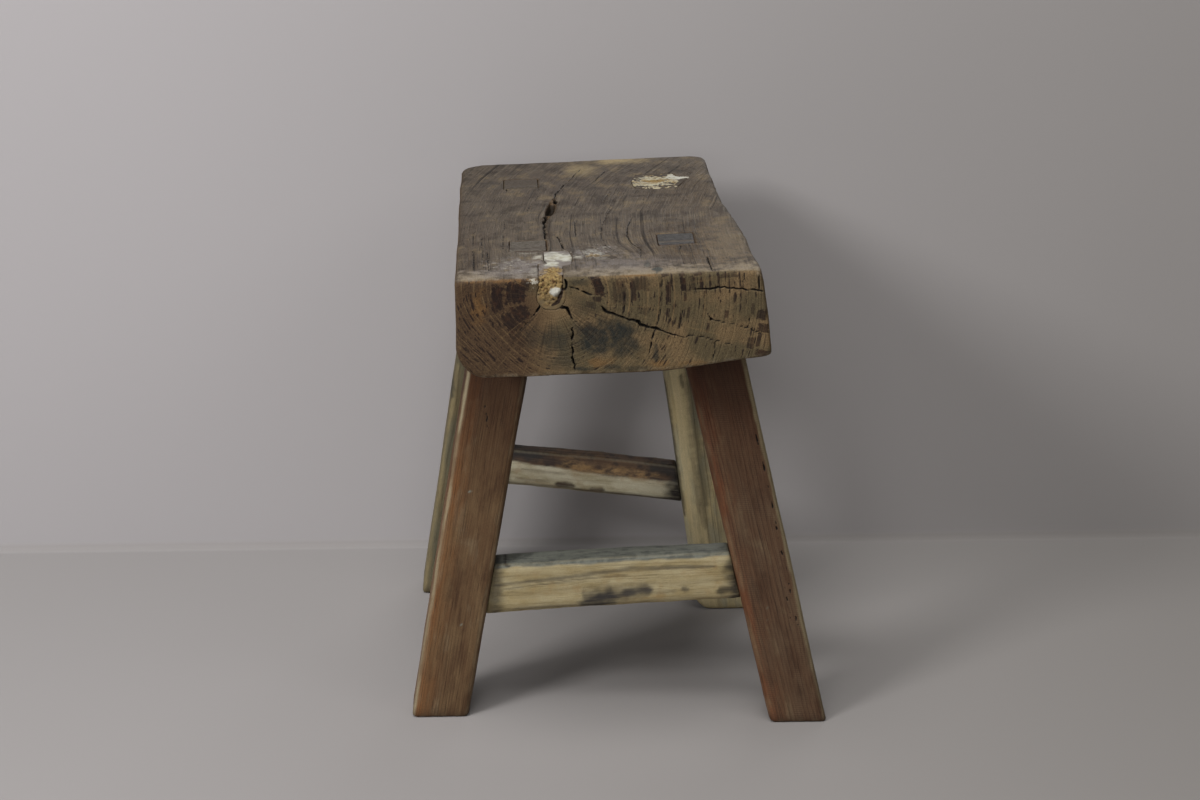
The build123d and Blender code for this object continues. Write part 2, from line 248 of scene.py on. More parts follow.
def raggedLine(line, wander, shift):
    # the same run with small steps and a little sideways wander
    line = np.asarray(line, float)
    finer = []
    for start, end in zip(line[:-1], line[1:]):
        steps = max(1, int(np.linalg.norm(end - start) / 1.6))
        finer += [start + (end - start) * step / steps for step in range(steps)]
    finer = np.array(finer + [line[-1]])
    for spot in finer[1:-1]:
        spot += np.array(noise.noise_vector(Vector(spot) * 0.45 + Vector((shift, shift, shift)))) * wander
    return finer


def refineAlong(piece, lines, reach):
    # splits the faces that lie near any of the lines
    centres = faceCentres(piece)
    near = np.zeros(len(centres), bool)
    for line in lines:
        line = np.asarray(line)
        inside = within(centres, line, reach)
        if len(inside):
            near[inside] |= lineDistance(centres[inside], line)[0] < reach
    splitFaces(piece, near)


def carveCracks(piece, cracks, wander=0.5):
    # cracks: width, depth and run of each; the cut is a V whose width comes and goes, and the painted shade
    # in each crack is returned
    runs = [
        (width, depth, raggedLine(line, wander + 0.22 * width, 3.7 * index))
        for index, (width, depth, line) in enumerate(cracks)
    ]
    refineAlong(piece, [line for _, _, line in runs], 2.6)
    refineAlong(piece, [line for width, _, line in runs if width > 0.7], 1.9)
    points = readPoints(piece)
    normals = readNormals(piece)
    depths = np.zeros(len(points))
    shade = np.zeros(len(points))
    for index, (width, depth, line) in enumerate(runs):
        inside = within(points, line, 4)
        if not len(inside):
            continue
        gap, along = lineDistance(points[inside], line)
        taper = np.clip(np.minimum(along, 1 - along) * 7 + 0.25, 0, 1)
        uneven = 0.75 + 0.6 * fieldNoise(points[inside], 6.0, 5.1 * index, 1)
        half = np.maximum(width * crackLook["share"] / 2 * taper * uneven, 0.18)
        profile = np.clip(1.25 - gap / (half + 0.12), 0, 1)
        depths[inside] = np.maximum(depths[inside], profile * depth * taper)
        # painted shade in each crack, a little wider than the cut
        dark = np.clip(1.7 - gap / (half + 0.14), 0, 1) * np.clip(taper * 1.6, 0, 1)
        shade[inside] = np.maximum(shade[inside], dark)
    writePoints(piece, points - normals * depths[:, None])
    return shade


# Small tools for materials

def tone(colour):
    # an sRGB colour with parts from 0 to 255 as Blender's linear colour
    return tuple(
        part / 255 / 12.92 if part <= 10 else ((part / 255 + 0.055) / 1.055) ** 2.4
        for part in colour
    ) + (1.0,)


# The node tree that is being filled; every tool below adds its nodes to it
current = {"tree": None}


def link(source, target):
    current["tree"].links.new(source, target)


def addNode(kind, inputs=None, **settings):
    made = current["tree"].nodes.new("ShaderNode" + kind)
    for key, setting in settings.items():
        setattr(made, key, setting)
    for key, given in (inputs or {}).items():
        if isinstance(given, bpy.types.NodeSocket):
            link(given, made.inputs[key])
        else:
            made.inputs[key].default_value = given
    return made


def calc(operation, first, second=0.0, clamp=False):
    return addNode("Math", {0: first, 1: second}, operation=operation, use_clamp=clamp).outputs[0]


def times(first, *factors):
    for factor in factors:
        first = calc("MULTIPLY", first, factor)
    return first


def plus(first, second):
    return calc("ADD", first, second)


def minus(first, second):
    return calc("SUBTRACT", first, second)


def vectorCalc(operation, first, second=(0, 0, 0), output=0):
    return addNode("VectorMath", {0: first, 1: second}, operation=operation).outputs[output]


def scaled(given, factors):
    return vectorCalc("MULTIPLY", given, factors)


def parts(given):
    return addNode("SeparateXYZ", {0: given}).outputs


def spread(given, low, high, start=0.0, end=1.0):
    # takes values from low to high smoothly to values from start to end
    limits = {"Value": given, "From Min": low, "From Max": high, "To Min": start, "To Max": end}
    return addNode("MapRange", limits, interpolation_type="SMOOTHSTEP").outputs[0]


def blend(amount, under, over, mode="MIX"):
    # under and over are sockets or sRGB colours
    under, over = (tone(side) if isinstance(side, tuple) else side for side in (under, over))
    return addNode("Mix", {0: amount, 6: under, 7: over}, data_type="RGBA", blend_type=mode).outputs[2]


def layers(colour, look, rows):
    # puts tones of look over a colour in turn; a row is a strength, a name and perhaps a way to mix
    for amount, name, *mode in rows:
        colour = blend(amount, colour, look[name], *mode)
    return colour


def cloud(given, scale, detail=2.0, rough=0.5):
    inputs = {"Vector": given, "Scale": scale, "Detail": detail, "Roughness": rough}
    return addNode("TexNoise", inputs).outputs[0]


def value(name):
    return addNode("Attribute", attribute_name=name).outputs["Fac"]


def vector(name):
    return addNode("Attribute", attribute_name=name).outputs["Vector"]


def startGroup(name, inputs):
    group = current["tree"] = bpy.data.node_groups.new(name, "ShaderNodeTree")
    for label, start in inputs.items():
        kind = "NodeSocketVector" if isinstance(start, tuple) else "NodeSocketFloat"
        group.interface.new_socket(label, in_out="INPUT", socket_type=kind).default_value = start
    return group, group.nodes.new("NodeGroupInput").outputs


def finishGroup(group, results):
    for label in results:
        group.interface.new_socket(label, in_out="OUTPUT", socket_type="NodeSocketFloat")
    leave = group.nodes.new("NodeGroupOutput")
    for label, result in results.items():
        link(result, leave.inputs[label])
    return group


def placeGroup(group, inputs):
    return addNode("Group", inputs, node_tree=group).outputs


def makeGrowthRings():
    # grain is a point across the trunk from its pith in X and Y, and along the trunk in Z, in millimetres
    inputs = {"Grain": (0.0, 0.0, 0.0), "Spacing": 3.4, "Warp": 2.0, "Line": 0.2}
    group, given = startGroup("growthRings", inputs)
    slow = scaled(given["Grain"], (0.035, 0.035, 0.006))
    fast = scaled(given["Grain"], (0.16, 0.16, 0.03))
    radius = vectorCalc("LENGTH", scaled(given["Grain"], (1, 1, 0)), output=1)
    wave = minus(cloud(slow, 1.0, 1.0), 0.5)
    ripple = minus(cloud(fast, 1.0, 2.0), 0.5)
    shift = plus(times(wave, 4.0), times(ripple, 0.7))
    warped = plus(radius, times(shift, given["Warp"]))
    bundleInputs = {"W": times(warped, 0.11), "Scale": 1.0, "Detail": 1.0}
    bundle = addNode("TexNoise", bundleInputs, noise_dimensions="1D").outputs[0]
    turns = plus(calc("DIVIDE", warped, given["Spacing"]), times(bundle, 3.2))
    phase = calc("FRACT", turns)
    fromLine = minus(0.5, calc("ABSOLUTE", minus(phase, 0.5)))
    line = calc("SUBTRACT", 1.0, calc("DIVIDE", fromLine, given["Line"]), clamp=True)
    ringTone = addNode("TexWhiteNoise", {"W": calc("FLOOR", turns)}, noise_dimensions="1D").outputs[0]
    return finishGroup(group, {"Phase": phase, "Line": line, "Tone": ringTone, "Radius": warped})


def makeWoodFibre():
    # long streaks and short open pores along the trunk
    group, given = startGroup("woodFibre", {"Grain": (0.0, 0.0, 0.0), "Across": 0.9, "Along": 0.03})
    scale = addNode("CombineXYZ", {0: given["Across"], 1: given["Across"], 2: given["Along"]}).outputs[0]
    stretched = scaled(given["Grain"], scale)
    streak = cloud(stretched, 1.0, 3.0, 0.6)
    pore = spread(cloud(scaled(stretched, (1.9, 1.9, 3.2)), 1.0, 1.0), 0.60, 0.72)
    patch = cloud(scaled(stretched, (0.12, 0.12, 0.35)), 1.0, 2.0)
    return finishGroup(group, {"Streak": streak, "Pore": pore, "Patch": patch})


# Inputs of both kinds of patches; ragged is a noise value shared by many patches
patchInputs = {"Place": (0.0, 0.0, 0.0), "Centre": (0.0, 0.0, 0.0), "Reach": (0.0, 0.0, 0.0), "Ragged": 0.5}


def makeStainPatch():
    # a soft-edged patch round a centre
    group, given = startGroup("stainPatch", {**patchInputs, "Soft": 0.5})
    shares = vectorCalc("DIVIDE", vectorCalc("SUBTRACT", given["Place"], given["Centre"]), given["Reach"])
    uneven = plus(vectorCalc("LENGTH", shares, output=1), times(minus(given["Ragged"], 0.5), 2.0))
    return finishGroup(group, {"Mask": spread(uneven, minus(1.0, given["Soft"]), 1.05, 1.0, 0.0)})


def makeBlock():
    # a four-sided patch with nearly sharp sides
    group, given = startGroup("block", patchInputs)
    shares = vectorCalc("DIVIDE", vectorCalc("SUBTRACT", given["Place"], given["Centre"]), given["Reach"])
    sides = parts(vectorCalc("ABSOLUTE", shares))
    farthest = calc("MAXIMUM", sides[0], sides[1])
    uneven = plus(farthest, times(minus(given["Ragged"], 0.5), 0.55))
    return finishGroup(group, {"Mask": spread(uneven, 1.08, 0.82)})


growthRings, woodFibre = makeGrowthRings(), makeWoodFibre()
stainPatch, block = makeStainPatch(), makeBlock()


def placeRings(grain, spacing, warp, line):
    return placeGroup(growthRings, {"Grain": grain, "Spacing": spacing, "Warp": warp, "Line": line})


def placeFibre(grain, across, along):
    return placeGroup(woodFibre, {"Grain": grain, "Across": across, "Along": along})


def strongest(group, shared, patches):
    # the strongest of several patches; each is a centre, a reach and a strength
    mask = None
    for centre, reach, strength in patches:
        one = placeGroup(group, {**shared, "Centre": centre, "Reach": reach})["Mask"]
        one = times(one, strength)
        mask = one if mask is None else calc("MAXIMUM", mask, one)
    return mask


def patchMask(place, ragged, patches, soft=0.5):
    return strongest(stainPatch, {"Place": place, "Ragged": ragged, "Soft": soft}, patches)


def blockMask(polar, ragged, patches):
    return strongest(block, {"Place": polar, "Ragged": ragged}, patches)


def titled(name):
    return name.title().replace("_", "")


def startMaterial(name):
    # a new material, and the place on its object in millimetres
    material = bpy.data.materials.new(name)
    material.use_nodes = True
    current["tree"] = material.node_tree
    return material, scaled(addNode("TexCoord").outputs["Object"], (metre, metre, metre))


def finishMaterial(material, colour, rough, height, strength, distance, specular):
    shader = material.node_tree.nodes["Principled BSDF"]
    bump = addNode("Bump", {"Strength": strength, "Distance": distance / metre, "Height": height})
    link(colour, shader.inputs["Base Color"])
    link(rough, shader.inputs["Roughness"])
    link(bump.outputs[0], shader.inputs["Normal"])
    shader.inputs["Specular IOR Level"].default_value = specular
    return material


print("tools and node groups made")


# Seat slab; all its distances are in millimetres

seat = {
    "left": -98.8,          # left edge of the seat at the front
    "front": -150.0,
    "topLeft": 302.0,       # height of the top at the left edge
    "topSlope": 5.5 / 180.4,
    "high": 307.4,          # distances down the ends start at this height
    "voxel": 1.76,
    "hewn": 0.55,           # height of the worn waves in the surface
    "cornerReach": 4.6,
    "cornerRounds": 9,
    "pith": (57.1, 16.1),   # in from the left edge and down from the top, on the front end
    "check": (-40, 15),     # middle of the rotten check in the top
    "checkHalf": (9, 38),
    "endTan": (117, 97, 69),
    "endOlive": (90, 79, 57),
    "endLeft": (70, 51, 36),
    "endLine": (124, 102, 70),
    "endDark": (40, 30, 23),
    "block": (32, 21, 19),
    "blockWarm": (52, 33, 24),
    "blueStain": (34, 37, 35),
    "orangeEdge": (122, 88, 48),
    "topGrey": (92, 82, 71),
    "topTan": (86, 70, 51),
    "topDark": (58, 50, 43),
    "topBrown": (80, 70, 63),
    "topWarm": (124, 108, 82),
    "topLine": (28, 22, 18),
    "frontBand": (154, 140, 117),
    "sapwood": (170, 151, 113),
    "hazeAndSheen": (130, 123, 120),
    "cream": (178, 174, 160),
    "rot": (62, 50, 38),
    "spot": (56, 60, 58),
    "side": (92, 74, 54),
    "under": (84, 66, 47),
    # the tone of the painted shade in cracks
    "crack": (20, 17, 14),
    "grime": (128, 114, 100),
    "specular": 0.18,
}

# How far the pith has moved sideways at each distance from the front end
pithDrift = (
    (0, 0), (60, -1.4), (100, -2.6), (146, -1.0), (166, 2.0), (190, 4.8), (214, 8.0), (232, 12.0),
    (252, 16.5), (268, 21.0), (300, 31.0),
)

# Cracks on the front end: width, depth, and a run of distances from the left edge and down from the top
endCracks = (
    (2.2, 3.4, (
        (64.1, 3), (66.0, 8.2), (62.8, 12.7), (60.9, 18.0), (58.2, 19.9), (63.4, 22.1), (65.6, 22.8),
        (69.7, 30.1),
    )),
    (1.5, 3.0, ((69.7, 30.1), (69.1, 35.5), (68.7, 46.2), (69.6, 56.2), (71.3, 63))),
    (0.5, 0.7, ((69.7, 31.1), (74.2, 30.8), (79.4, 28.9), (86.3, 23.3))),
    (1.5, 2.4, ((67.0, 8.9), (68.5, 10.1), (72.4, 10.9), (76.8, 12.9), (81.0, 14.6))),
    (2.2, 3.4, (
        (85.3, 21.2), (89.4, 25.1), (96.8, 28.0), (100.9, 29.1), (106.3, 30.9), (111.1, 33.8),
        (117.2, 35.6), (123.3, 37.1),
    )),
    (1.1, 1.8, ((120.0, 36.4), (128.1, 39.3), (135.6, 41.3))),
    (0.6, 0.9, (
        (135.6, 41.3), (139.0, 39.4), (143.1, 40.5), (148.5, 41.7), (156.0, 43.5), (164.3, 46.4),
    )),
    (0.7, 1.0, ((121.4, 3.9), (121.5, 21.6), (119.2, 32.0), (117.8, 35.7))),
    (0.9, 1.4, ((117.8, 35.7), (116.9, 38.5), (114.6, 49.8), (113.2, 59.1))),
    (0.6, 0.9, ((99.1, 12.2), (99.8, 21.4), (98.2, 27.7))),
    (1.2, 1.8, (
        (140.7, 12.0), (146.1, 11.3), (158.3, 10.8), (169.2, 11.9), (179.3, 12.6), (183.8, 13.2),
    )),
    (0.9, 1.2, ((179.2, 12.3), (178.9, 6.0), (178.8, 1.4))),
    (0.6, 0.8, ((170.3, 0.7), (170.0, 4.5), (168.8, 8.0))), (0.6, 0.8, ((161.7, 11.8), (161.7, 15.6))),
    (0.7, 1.0, (
        (147.6, 24.0), (149.4, 28.2), (151.1, 30.2), (156.5, 31.4), (165.4, 33.3), (172.3, 35.5),
        (179.1, 38.8), (182.6, 40.2),
    )),
    (2.4, 2.0, ((150.4, 29.7), (151.6, 30.6))), (0.6, 0.8, ((172.3, 35.5), (174.2, 28.5))),
    (0.6, 0.8, ((153.3, 43.8), (153.4, 50.2), (152.4, 54.5))),
    (0.6, 0.8, ((132.1, 35.8), (133.7, 27.3), (134.4, 23.8))),
    (1.6, 2.2, ((58.0, 19.5), (52.6, 18.9), (50.0, 20.6), (47.4, 25.1))),
    (0.7, 1.0, ((47.4, 25.1), (42.2, 31.2), (37.0, 37.5))),
    (0.5, 0.6, ((71.3, 6.5), (79.0, 3.0), (95.0, 2.2), (117.0, 1.4))),
)

# Cracks on the top: width, depth, and a run of distances from the left edge and from the front end
topCracks = (
    (3.0, 4.5, (
        (61.5, 192.0), (61.8, 184), (60.4, 176), (59.6, 168), (57.4, 160), (58.4, 154), (56.0, 147),
        (56.6, 140),
    )),
    (3.6, 5.0, ((62.4, 186), (61.6, 177), (59.8, 169), (58.9, 162))),
    (3.0, 4.0, ((57.0, 150), (55.0, 143), (55.8, 136), (53.8, 129), (54.8, 121))),
    (2.4, 3.6, ((54.6, 124), (53.6, 112), (54.9, 103), (54.0, 96), (54.4, 88))),
    (1.3, 1.8, ((61.8, 190.0), (63.0, 203), (66.0, 213.7), (68.0, 224), (71.3, 234.4))),
    (0.9, 1.2, ((71.3, 234.4), (74.2, 244), (76.8, 256.6), (81.3, 270.3))),
    (1.1, 1.4, ((89.9, 235.6), (91.5, 243), (94.6, 250.5), (96.5, 257.9), (101.1, 267.2))),
    (0.8, 0.9, (
        (110.3, 134.3), (106.5, 113.0), (104.9, 89.2), (107.2, 68.0), (111.9, 54.7), (110.9, 34.8),
    )),
    (0.7, 0.8, (
        (103.8, 195.1), (98.4, 164.1), (90.3, 115.4), (89.0, 88.9), (90.7, 68.1), (100.1, 41.4),
    )),
    (0.8, 0.9, ((73.6, 127.8), (73.4, 91.3))), (1.3, 1.8, ((62.2, 94.9), (63.1, 82.7), (65.3, 64.1))),
    (1.0, 1.4, ((30.6, 244.3), (30.7, 213.5))), (0.7, 0.8, ((29.1, 135.6), (28.4, 67.0))),
    (0.7, 0.8, ((9.4, 111.6), (11.0, 20.2))), (0.7, 0.8, ((14.8, 100.1), (17.4, 19.3))),
    (0.8, 0.9, ((18.5, 63.4), (20.0, 14.3))), (1.1, 1.4, ((150.5, 34.0), (151.0, 18.8), (151.2, 1.1))),
    (0.8, 0.9, ((136.3, 61.1), (135.4, 47.2))), (1.1, 1.4, ((32.5, 88.3), (32.6, 61.3))),
    (0.7, 0.8, ((93.0, 168.0), (95.6, 188.0), (99.4, 205.0))),
    (0.7, 0.8, ((44.0, 160.0), (47.5, 182.0), (52.0, 201.0))),
)

# Cracks on the rear end, which the photo does not show
rearCracks = (
    (1.4, 2.2, ((86.0, 20.0), (87.5, 34.0), (85.0, 46.0), (86.0, 60.0))),
    (1.1, 1.8, ((89.0, 15.0), (104.0, 12.5), (122.0, 13.5), (141.0, 11.0))),
    (0.8, 1.2, ((82.0, 19.0), (66.0, 27.0), (48.0, 31.0), (30.0, 38.0))),
    (0.6, 0.8, ((96.0, 26.0), (112.0, 34.0), (133.0, 39.0), (150.0, 40.0))),
)


def topHeight(x):
    return seat["topLeft"] + (x - seat["left"]) * seat["topSlope"]


def onEnd(run, y):
    return [(seat["left"] + across, y, seat["high"] - down) for across, down in run]


def onTop(run):
    return [
        (seat["left"] + across, seat["front"] + back, topHeight(seat["left"] + across))
        for across, back in run
    ]


def hewnWave(points):
    # the same low waves for the slab, the tenon ends and the wedges, so that they stay flush
    return fieldNoise(points, 38.0, 2.3) * seat["hewn"]


def endWave(points):
    return hewnWave(points) * smoothStep(points[:, 2], 298.0, 301.0)


def slabGrain(points):
    # across and down from the pith, and along the slab, all in millimetres
    across = points[:, 0] - seat["left"]
    back = points[:, 1] - seat["front"]
    drift = np.interp(back, [row[0] for row in pithDrift], [row[1] for row in pithDrift])
    stronger = 1 + 0.45 * smoothStep(across, 60, 110)
    sweep = 9.5 * np.exp(-((across - 101) / 17) ** 2)
    sweep = sweep * (1 - smoothStep(back, 34, 76)) * smoothStep(back, -10, 30)
    bend = drift * np.where(drift > 0, stronger, 1) + sweep
    x = across - seat["pith"][0] - bend
    y = seat["high"] - points[:, 2] - seat["pith"][1]
    turn = np.degrees(np.arctan2(x, y))
    dent = 1 + 0.23 * np.exp(-((turn + 45) / 35) ** 2)
    polar = np.stack([np.hypot(x, y), turn, 0 * x], axis=1)
    return np.stack([x * dent, y * dent, back], axis=1), polar


def outerCorners(corners):
    # the slab's own corners, without those of its mortises and hollows
    x, y, z = corners.T
    chip = (y < -140) & (x > -54) & (x < -27) & (z > 280)
    return ((x < -90) | (x > 64) | (y < -146) | (y > 138)) & ~chip


def innerCorners(spots):
    return ~outerCorners(spots) & (spots[:, 2] > 280)


def spareInner(spots):
    # the rear left mortise and the hollow in the front end keep crisper corners
    x, y, z = spots.T
    hollow = (y < -146) * (1 - smoothStep(z, 294, 301)) * (x < -28)
    return 0.85 * ((x < -30) & (y > 60) & (y < 112)) + hollow


def spareOuter(spots):
    # so do the slab's underside and its rear end
    return 0.8 * np.maximum(1 - smoothStep(spots[:, 2], 256, 270), smoothStep(spots[:, 1], 100, 130))


def makeSlab():
    piece, tree, corners = fineCopy("seat_slab", seat["voxel"], innerCorners)
    wearCorners(
        piece, corners, reach=1.6, rounds=3, patchSize=22.0, shift=1.0, base=1.0, spare=spareInner,
    )
    corners = corners[outerCorners(corners)]
    wearCorners(
        piece, corners, seat["cornerReach"], seat["cornerRounds"], patchSize=22.0, shift=1.0,
        spare=spareOuter,
    )
    points = readPoints(piece)
    writePoints(piece, points + readNormals(piece) * hewnWave(points)[:, None])
    cracks = [(width, depth, onEnd(run, seat["front"])) for width, depth, run in endCracks]
    cracks += [(width, depth, onTop(run)) for width, depth, run in topCracks]
    cracks += [(width, depth, onEnd(run, -seat["front"])) for width, depth, run in rearCracks]
    shade = carveCracks(piece, cracks)
    points = readPoints(piece)
    # painted shade in the hollow of the rotten check, darker where deeper
    deep = smoothStep(topHeight(points[:, 0]) - points[:, 2], 0.8, 2.6)
    inCheck = (np.abs(points[:, :2] - seat["check"]) < seat["checkHalf"]).all(axis=1) & (points[:, 2] > 286)
    shade = np.maximum(shade, 0.72 * deep * inCheck)
    facing = relax(solidNormals(points, tree), readEdges(piece), np.full(len(points), 0.6), 2)
    grain, polar = slabGrain(points)
    keepValues(
        piece, grain=grain, polar=polar, crack=shade,
        endGrain=smoothStep(np.abs(facing[:, 1]), 0.35, 0.75),
        topFace=smoothStep(facing[:, 2], 0.35, 0.8),
        cornerWear=cornerShare(points, corners, 6.5),
    )
    return piece


def endSpot(across, down, wide, high, strength=1.0):
    # a patch on the front end, in the slab's own distances
    return ((seat["left"] + across, seat["front"], seat["high"] - down), (wide, 9.0, high), strength)


def topSpot(across, back, wide, long, strength=1.0):
    x = seat["left"] + across
    return ((x, seat["front"] + back, topHeight(x)), (wide, long, 7.0), strength)


def topPatches(place, ragged, soft, *rows):
    return patchMask(place, ragged, [topSpot(*row) for row in rows], soft)


def ringBlock(across, down, thick, long, strength=1.0):
    # a block between growth rings on the front end: its middle, its halves across and along the rings
    x, y = across - seat["pith"][0], down - seat["pith"][1]
    radius, turn = math.hypot(x, y), math.degrees(math.atan2(x, y))
    return ((radius, turn, 0.0), (thick, math.degrees(long / radius), 1.0), strength)


# Dark blocks of late wood between rings and rays, as the photo shows them
endBlocks = tuple(ringBlock(*row) for row in (
    (24.4, 16.1, 3.5, 8.2), (35.5, 13.0, 6.3, 6.4), (38.5, 25.5, 5.0, 5.2, 0.95),
    (31.8, 30.8, 3.4, 6.0, 0.92), (41.0, 8.1, 3.2, 3.4, 0.85), (37.9, 41.5, 2.6, 4.5, 0.5),
    (83.4, 8.6, 2.9, 6.4), (83.2, 17.2, 2.6, 1.8, 0.85), (79.5, 20.6, 3.0, 2.2, 0.55),
    (95.5, 12.8, 4.3, 7.2, 0.55), (107.2, 8.0, 5.6, 4.4, 0.6), (103.5, 12.0, 1.7, 6.2, 0.9),
    (110.0, 24.5, 3.4, 2.6, 0.4), (125.4, 14.0, 1.5, 6.8, 0.95), (124.9, 25.4, 1.2, 2.6, 0.8),
    (134.5, 8.4, 2.0, 5.0), (135.6, 16.0, 1.0, 2.4, 0.8), (140.0, 8.0, 1.6, 4.8, 0.55),
    (144.6, 7.6, 0.9, 2.8, 0.9), (123.0, 2.6, 2.4, 1.2, 0.8), (133.0, 2.4, 1.8, 1.2, 0.8),
    (142.5, 2.2, 2.6, 1.1, 0.8), (161.0, 3.2, 5.5, 1.4, 0.6), (161.8, 8.5, 1.4, 2.0, 0.45),
    (159.9, 27.0, 1.2, 2.6, 0.75), (132.6, 31.0, 0.8, 4.6, 0.7), (137.4, 25.6, 0.9, 3.6, 0.65),
    (149.0, 35.0, 1.0, 3.2, 0.65), (181.0, 27.5, 3.0, 3.2, 0.9), (182.0, 35.8, 3.4, 2.8, 0.9),
    (175.5, 24.0, 1.1, 3.6, 0.6), (174.5, 45.0, 2.2, 3.4, 0.8), (179.4, 43.0, 1.3, 4.2, 0.9),
    (181.5, 51.5, 4.0, 2.2, 0.9),
))
# Pale seams between the rings
endSeams = tuple(ringBlock(*row) for row in (
    (89.3, 13.0, 0.45, 12.0, 0.55), (101.2, 15.0, 0.5, 13.0, 0.6), (112.5, 16.0, 0.4, 13.0, 0.45),
    (119.5, 18.0, 0.45, 16.0, 0.5), (129.0, 20.0, 0.5, 18.0, 0.5), (147.0, 22.0, 0.45, 18.0, 0.4),
))
# Where short dark strokes gather
strokePatches = tuple(endSpot(*row) for row in (
    (8, 30, 12, 26), (14, 52, 14, 12, 0.85), (24, 36, 9, 16, 0.7), (150, 10, 38, 14, 0.75),
    (128, 24, 26, 24, 0.55), (178, 42, 11, 16, 0.9), (100, 16, 16, 14, 0.5), (122, 52, 7, 9, 0.7),
    (34, 56, 12, 5, 0.5),
))
bluePatches = tuple(endSpot(*row) for row in (
    (84, 40, 19, 14), (95, 38, 15, 11), (101, 46, 11, 10, 0.85), (58, 42, 13, 12, 0.7),
    (47, 40, 10, 9, 0.45), (62, 55, 12, 7, 0.5), (75, 22, 10, 9, 0.35), (118.5, 50, 2.2, 8, 0.75),
    (73, 6.5, 8, 3, 0.55), (92, 59, 7, 2.6, 0.7), (163, 56, 5, 2, 0.6), (75, 60, 8, 1.8, 0.8),
    (108, 60, 10, 1.8, 0.5),
))
orangePatches = tuple(endSpot(*row) for row in (
    (24, 5.0, 22, 2.4, 0.8), (45, 5, 10, 2.4, 0.5), (14, 22, 5, 16, 0.55), (120, 58, 9, 3.0, 0.55),
    (142, 57, 14, 2.6, 0.4), (104, 2.6, 20, 1.4, 0.6), (85, 56, 12, 4, 0.5), (36, 8.5, 6, 2.6, 0.4),
))
creamPatches = (endSpot(46.6, 4.8, 3.6, 3.2, 0.85), endSpot(52, 1.5, 5, 2.5, 0.6))


def shadeEnd(place, grain, middle, broad):
    # end grain: rings, dark blocks and strokes in the late wood, stains and rays
    look = seat
    rings = placeRings(grain, spacing=3.0, warp=0.7, line=0.2)
    polar = vector("polar")
    part = parts(polar)
    gentle = spread(middle, 0.2, 0.8, 0.25, 0.75)
    across = parts(grain)[0]
    drift = times(minus(broad, 0.5), 26.0)
    leftSide = spread(plus(across, drift), 4.0, -24.0)
    outer = spread(rings["Radius"], 15.0, 30.0)
    late = times(spread(rings["Phase"], 0.28, 0.62), spread(rings["Phase"], 1.0, 0.9))
    end = blend(spread(broad, 0.36, 0.6), look["endTan"], look["endOlive"])
    end = blend(times(leftSide, 0.85), end, look["endLeft"])
    fine = cloud(scaled(polar, (1.1, 0.55, 0.0)), 1.0, 3.0, 0.65)
    end = layers(end, look, (
        (spread(fine, 0.5, 0.75, 0.0, 0.45), "endDark"),
        (spread(fine, 0.45, 0.28, 0.0, 0.4), "endLine"),
        (times(late, outer, 0.16), "endDark"),
        (times(patchMask(place, gentle, orangePatches, 0.8), 0.85), "orangeEdge"),
    ))

    dashes = cloud(scaled(polar, (0.5, 0.16, 0.0)), 1.0, 2.0, 0.55)
    gather = patchMask(place, gentle, strokePatches, 0.9)
    dashes = spread(plus(dashes, times(gather, 0.15)), 0.60, 0.66)
    dashes = times(dashes, late, outer)
    end = blend(times(dashes, 0.88), end, look["block"])

    edge = spread(cloud(place, 0.5, 3.0, 0.6), 0.25, 0.75)
    seams = times(blockMask(polar, edge, endSeams), spread(fine, 0.35, 0.55, 0.4, 1.0))
    end = blend(seams, end, look["endLine"])
    blocks = blockMask(polar, edge, endBlocks)
    warm = spread(cloud(scaled(polar, (0.3, 0.1, 0.0)), 1.0, 3.0, 0.6), 0.48, 0.62)
    blockTone = blend(warm, look["block"], look["blockWarm"])
    between = placeRings(grain, spacing=7.0, warp=0.4, line=0.07)["Line"]
    blocks = times(blocks, spread(fine, 0.68, 0.52, 0.7, 1.0))
    blocks = times(blocks, spread(between, 0.3, 0.9, 1.0, 0.3))
    end = blend(times(blocks, 0.96), end, blockTone)

    lines = times(rings["Line"], spread(middle, 0.38, 0.6, 0.3, 1.0))
    lines = times(lines, plus(times(leftSide, 0.55), 0.22))
    lines = times(lines, minus(1.0, times(blocks, 0.8)))
    lines = times(lines, spread(rings["Tone"], 0.15, 0.85, 0.2, 1.0))
    lines = times(lines, spread(cloud(scaled(polar, (0.25, 0.07, 0.0)), 1.0, 2.0), 0.38, 0.56, 0.15, 1.0))
    end = blend(times(lines, outer), end, look["endLine"])
    smooth = spread(middle, 0.2, 0.8, 0.36, 0.64)
    blue = patchMask(place, smooth, bluePatches, 0.7)
    blue = times(blue, spread(cloud(place, 0.3, 4.0, 0.7), 0.25, 0.6, 0.6, 1.0), 0.95)
    end = blend(blue, end, look["blueStain"])
    end = blend(patchMask(place, edge, creamPatches, 0.8), end, look["cream"])

    # rays run out from the pith, strongest below it
    rays = cloud(scaled(polar, (0.015, 0.32, 0.0)), 1.0, 2.0, 0.6)
    fan = times(spread(part[0], 10.0, 16.0), spread(part[0], 44.0, 28.0))
    fan = times(fan, spread(calc("ABSOLUTE", part[1]), 92.0, 60.0))
    return layers(end, look, (
        (times(fan, spread(rays, 0.5, 0.66, 0.0, 0.55)), "endDark"),
        (spread(rays, 0.42, 0.26, 0.0, 0.32), "endLine"),
    ))


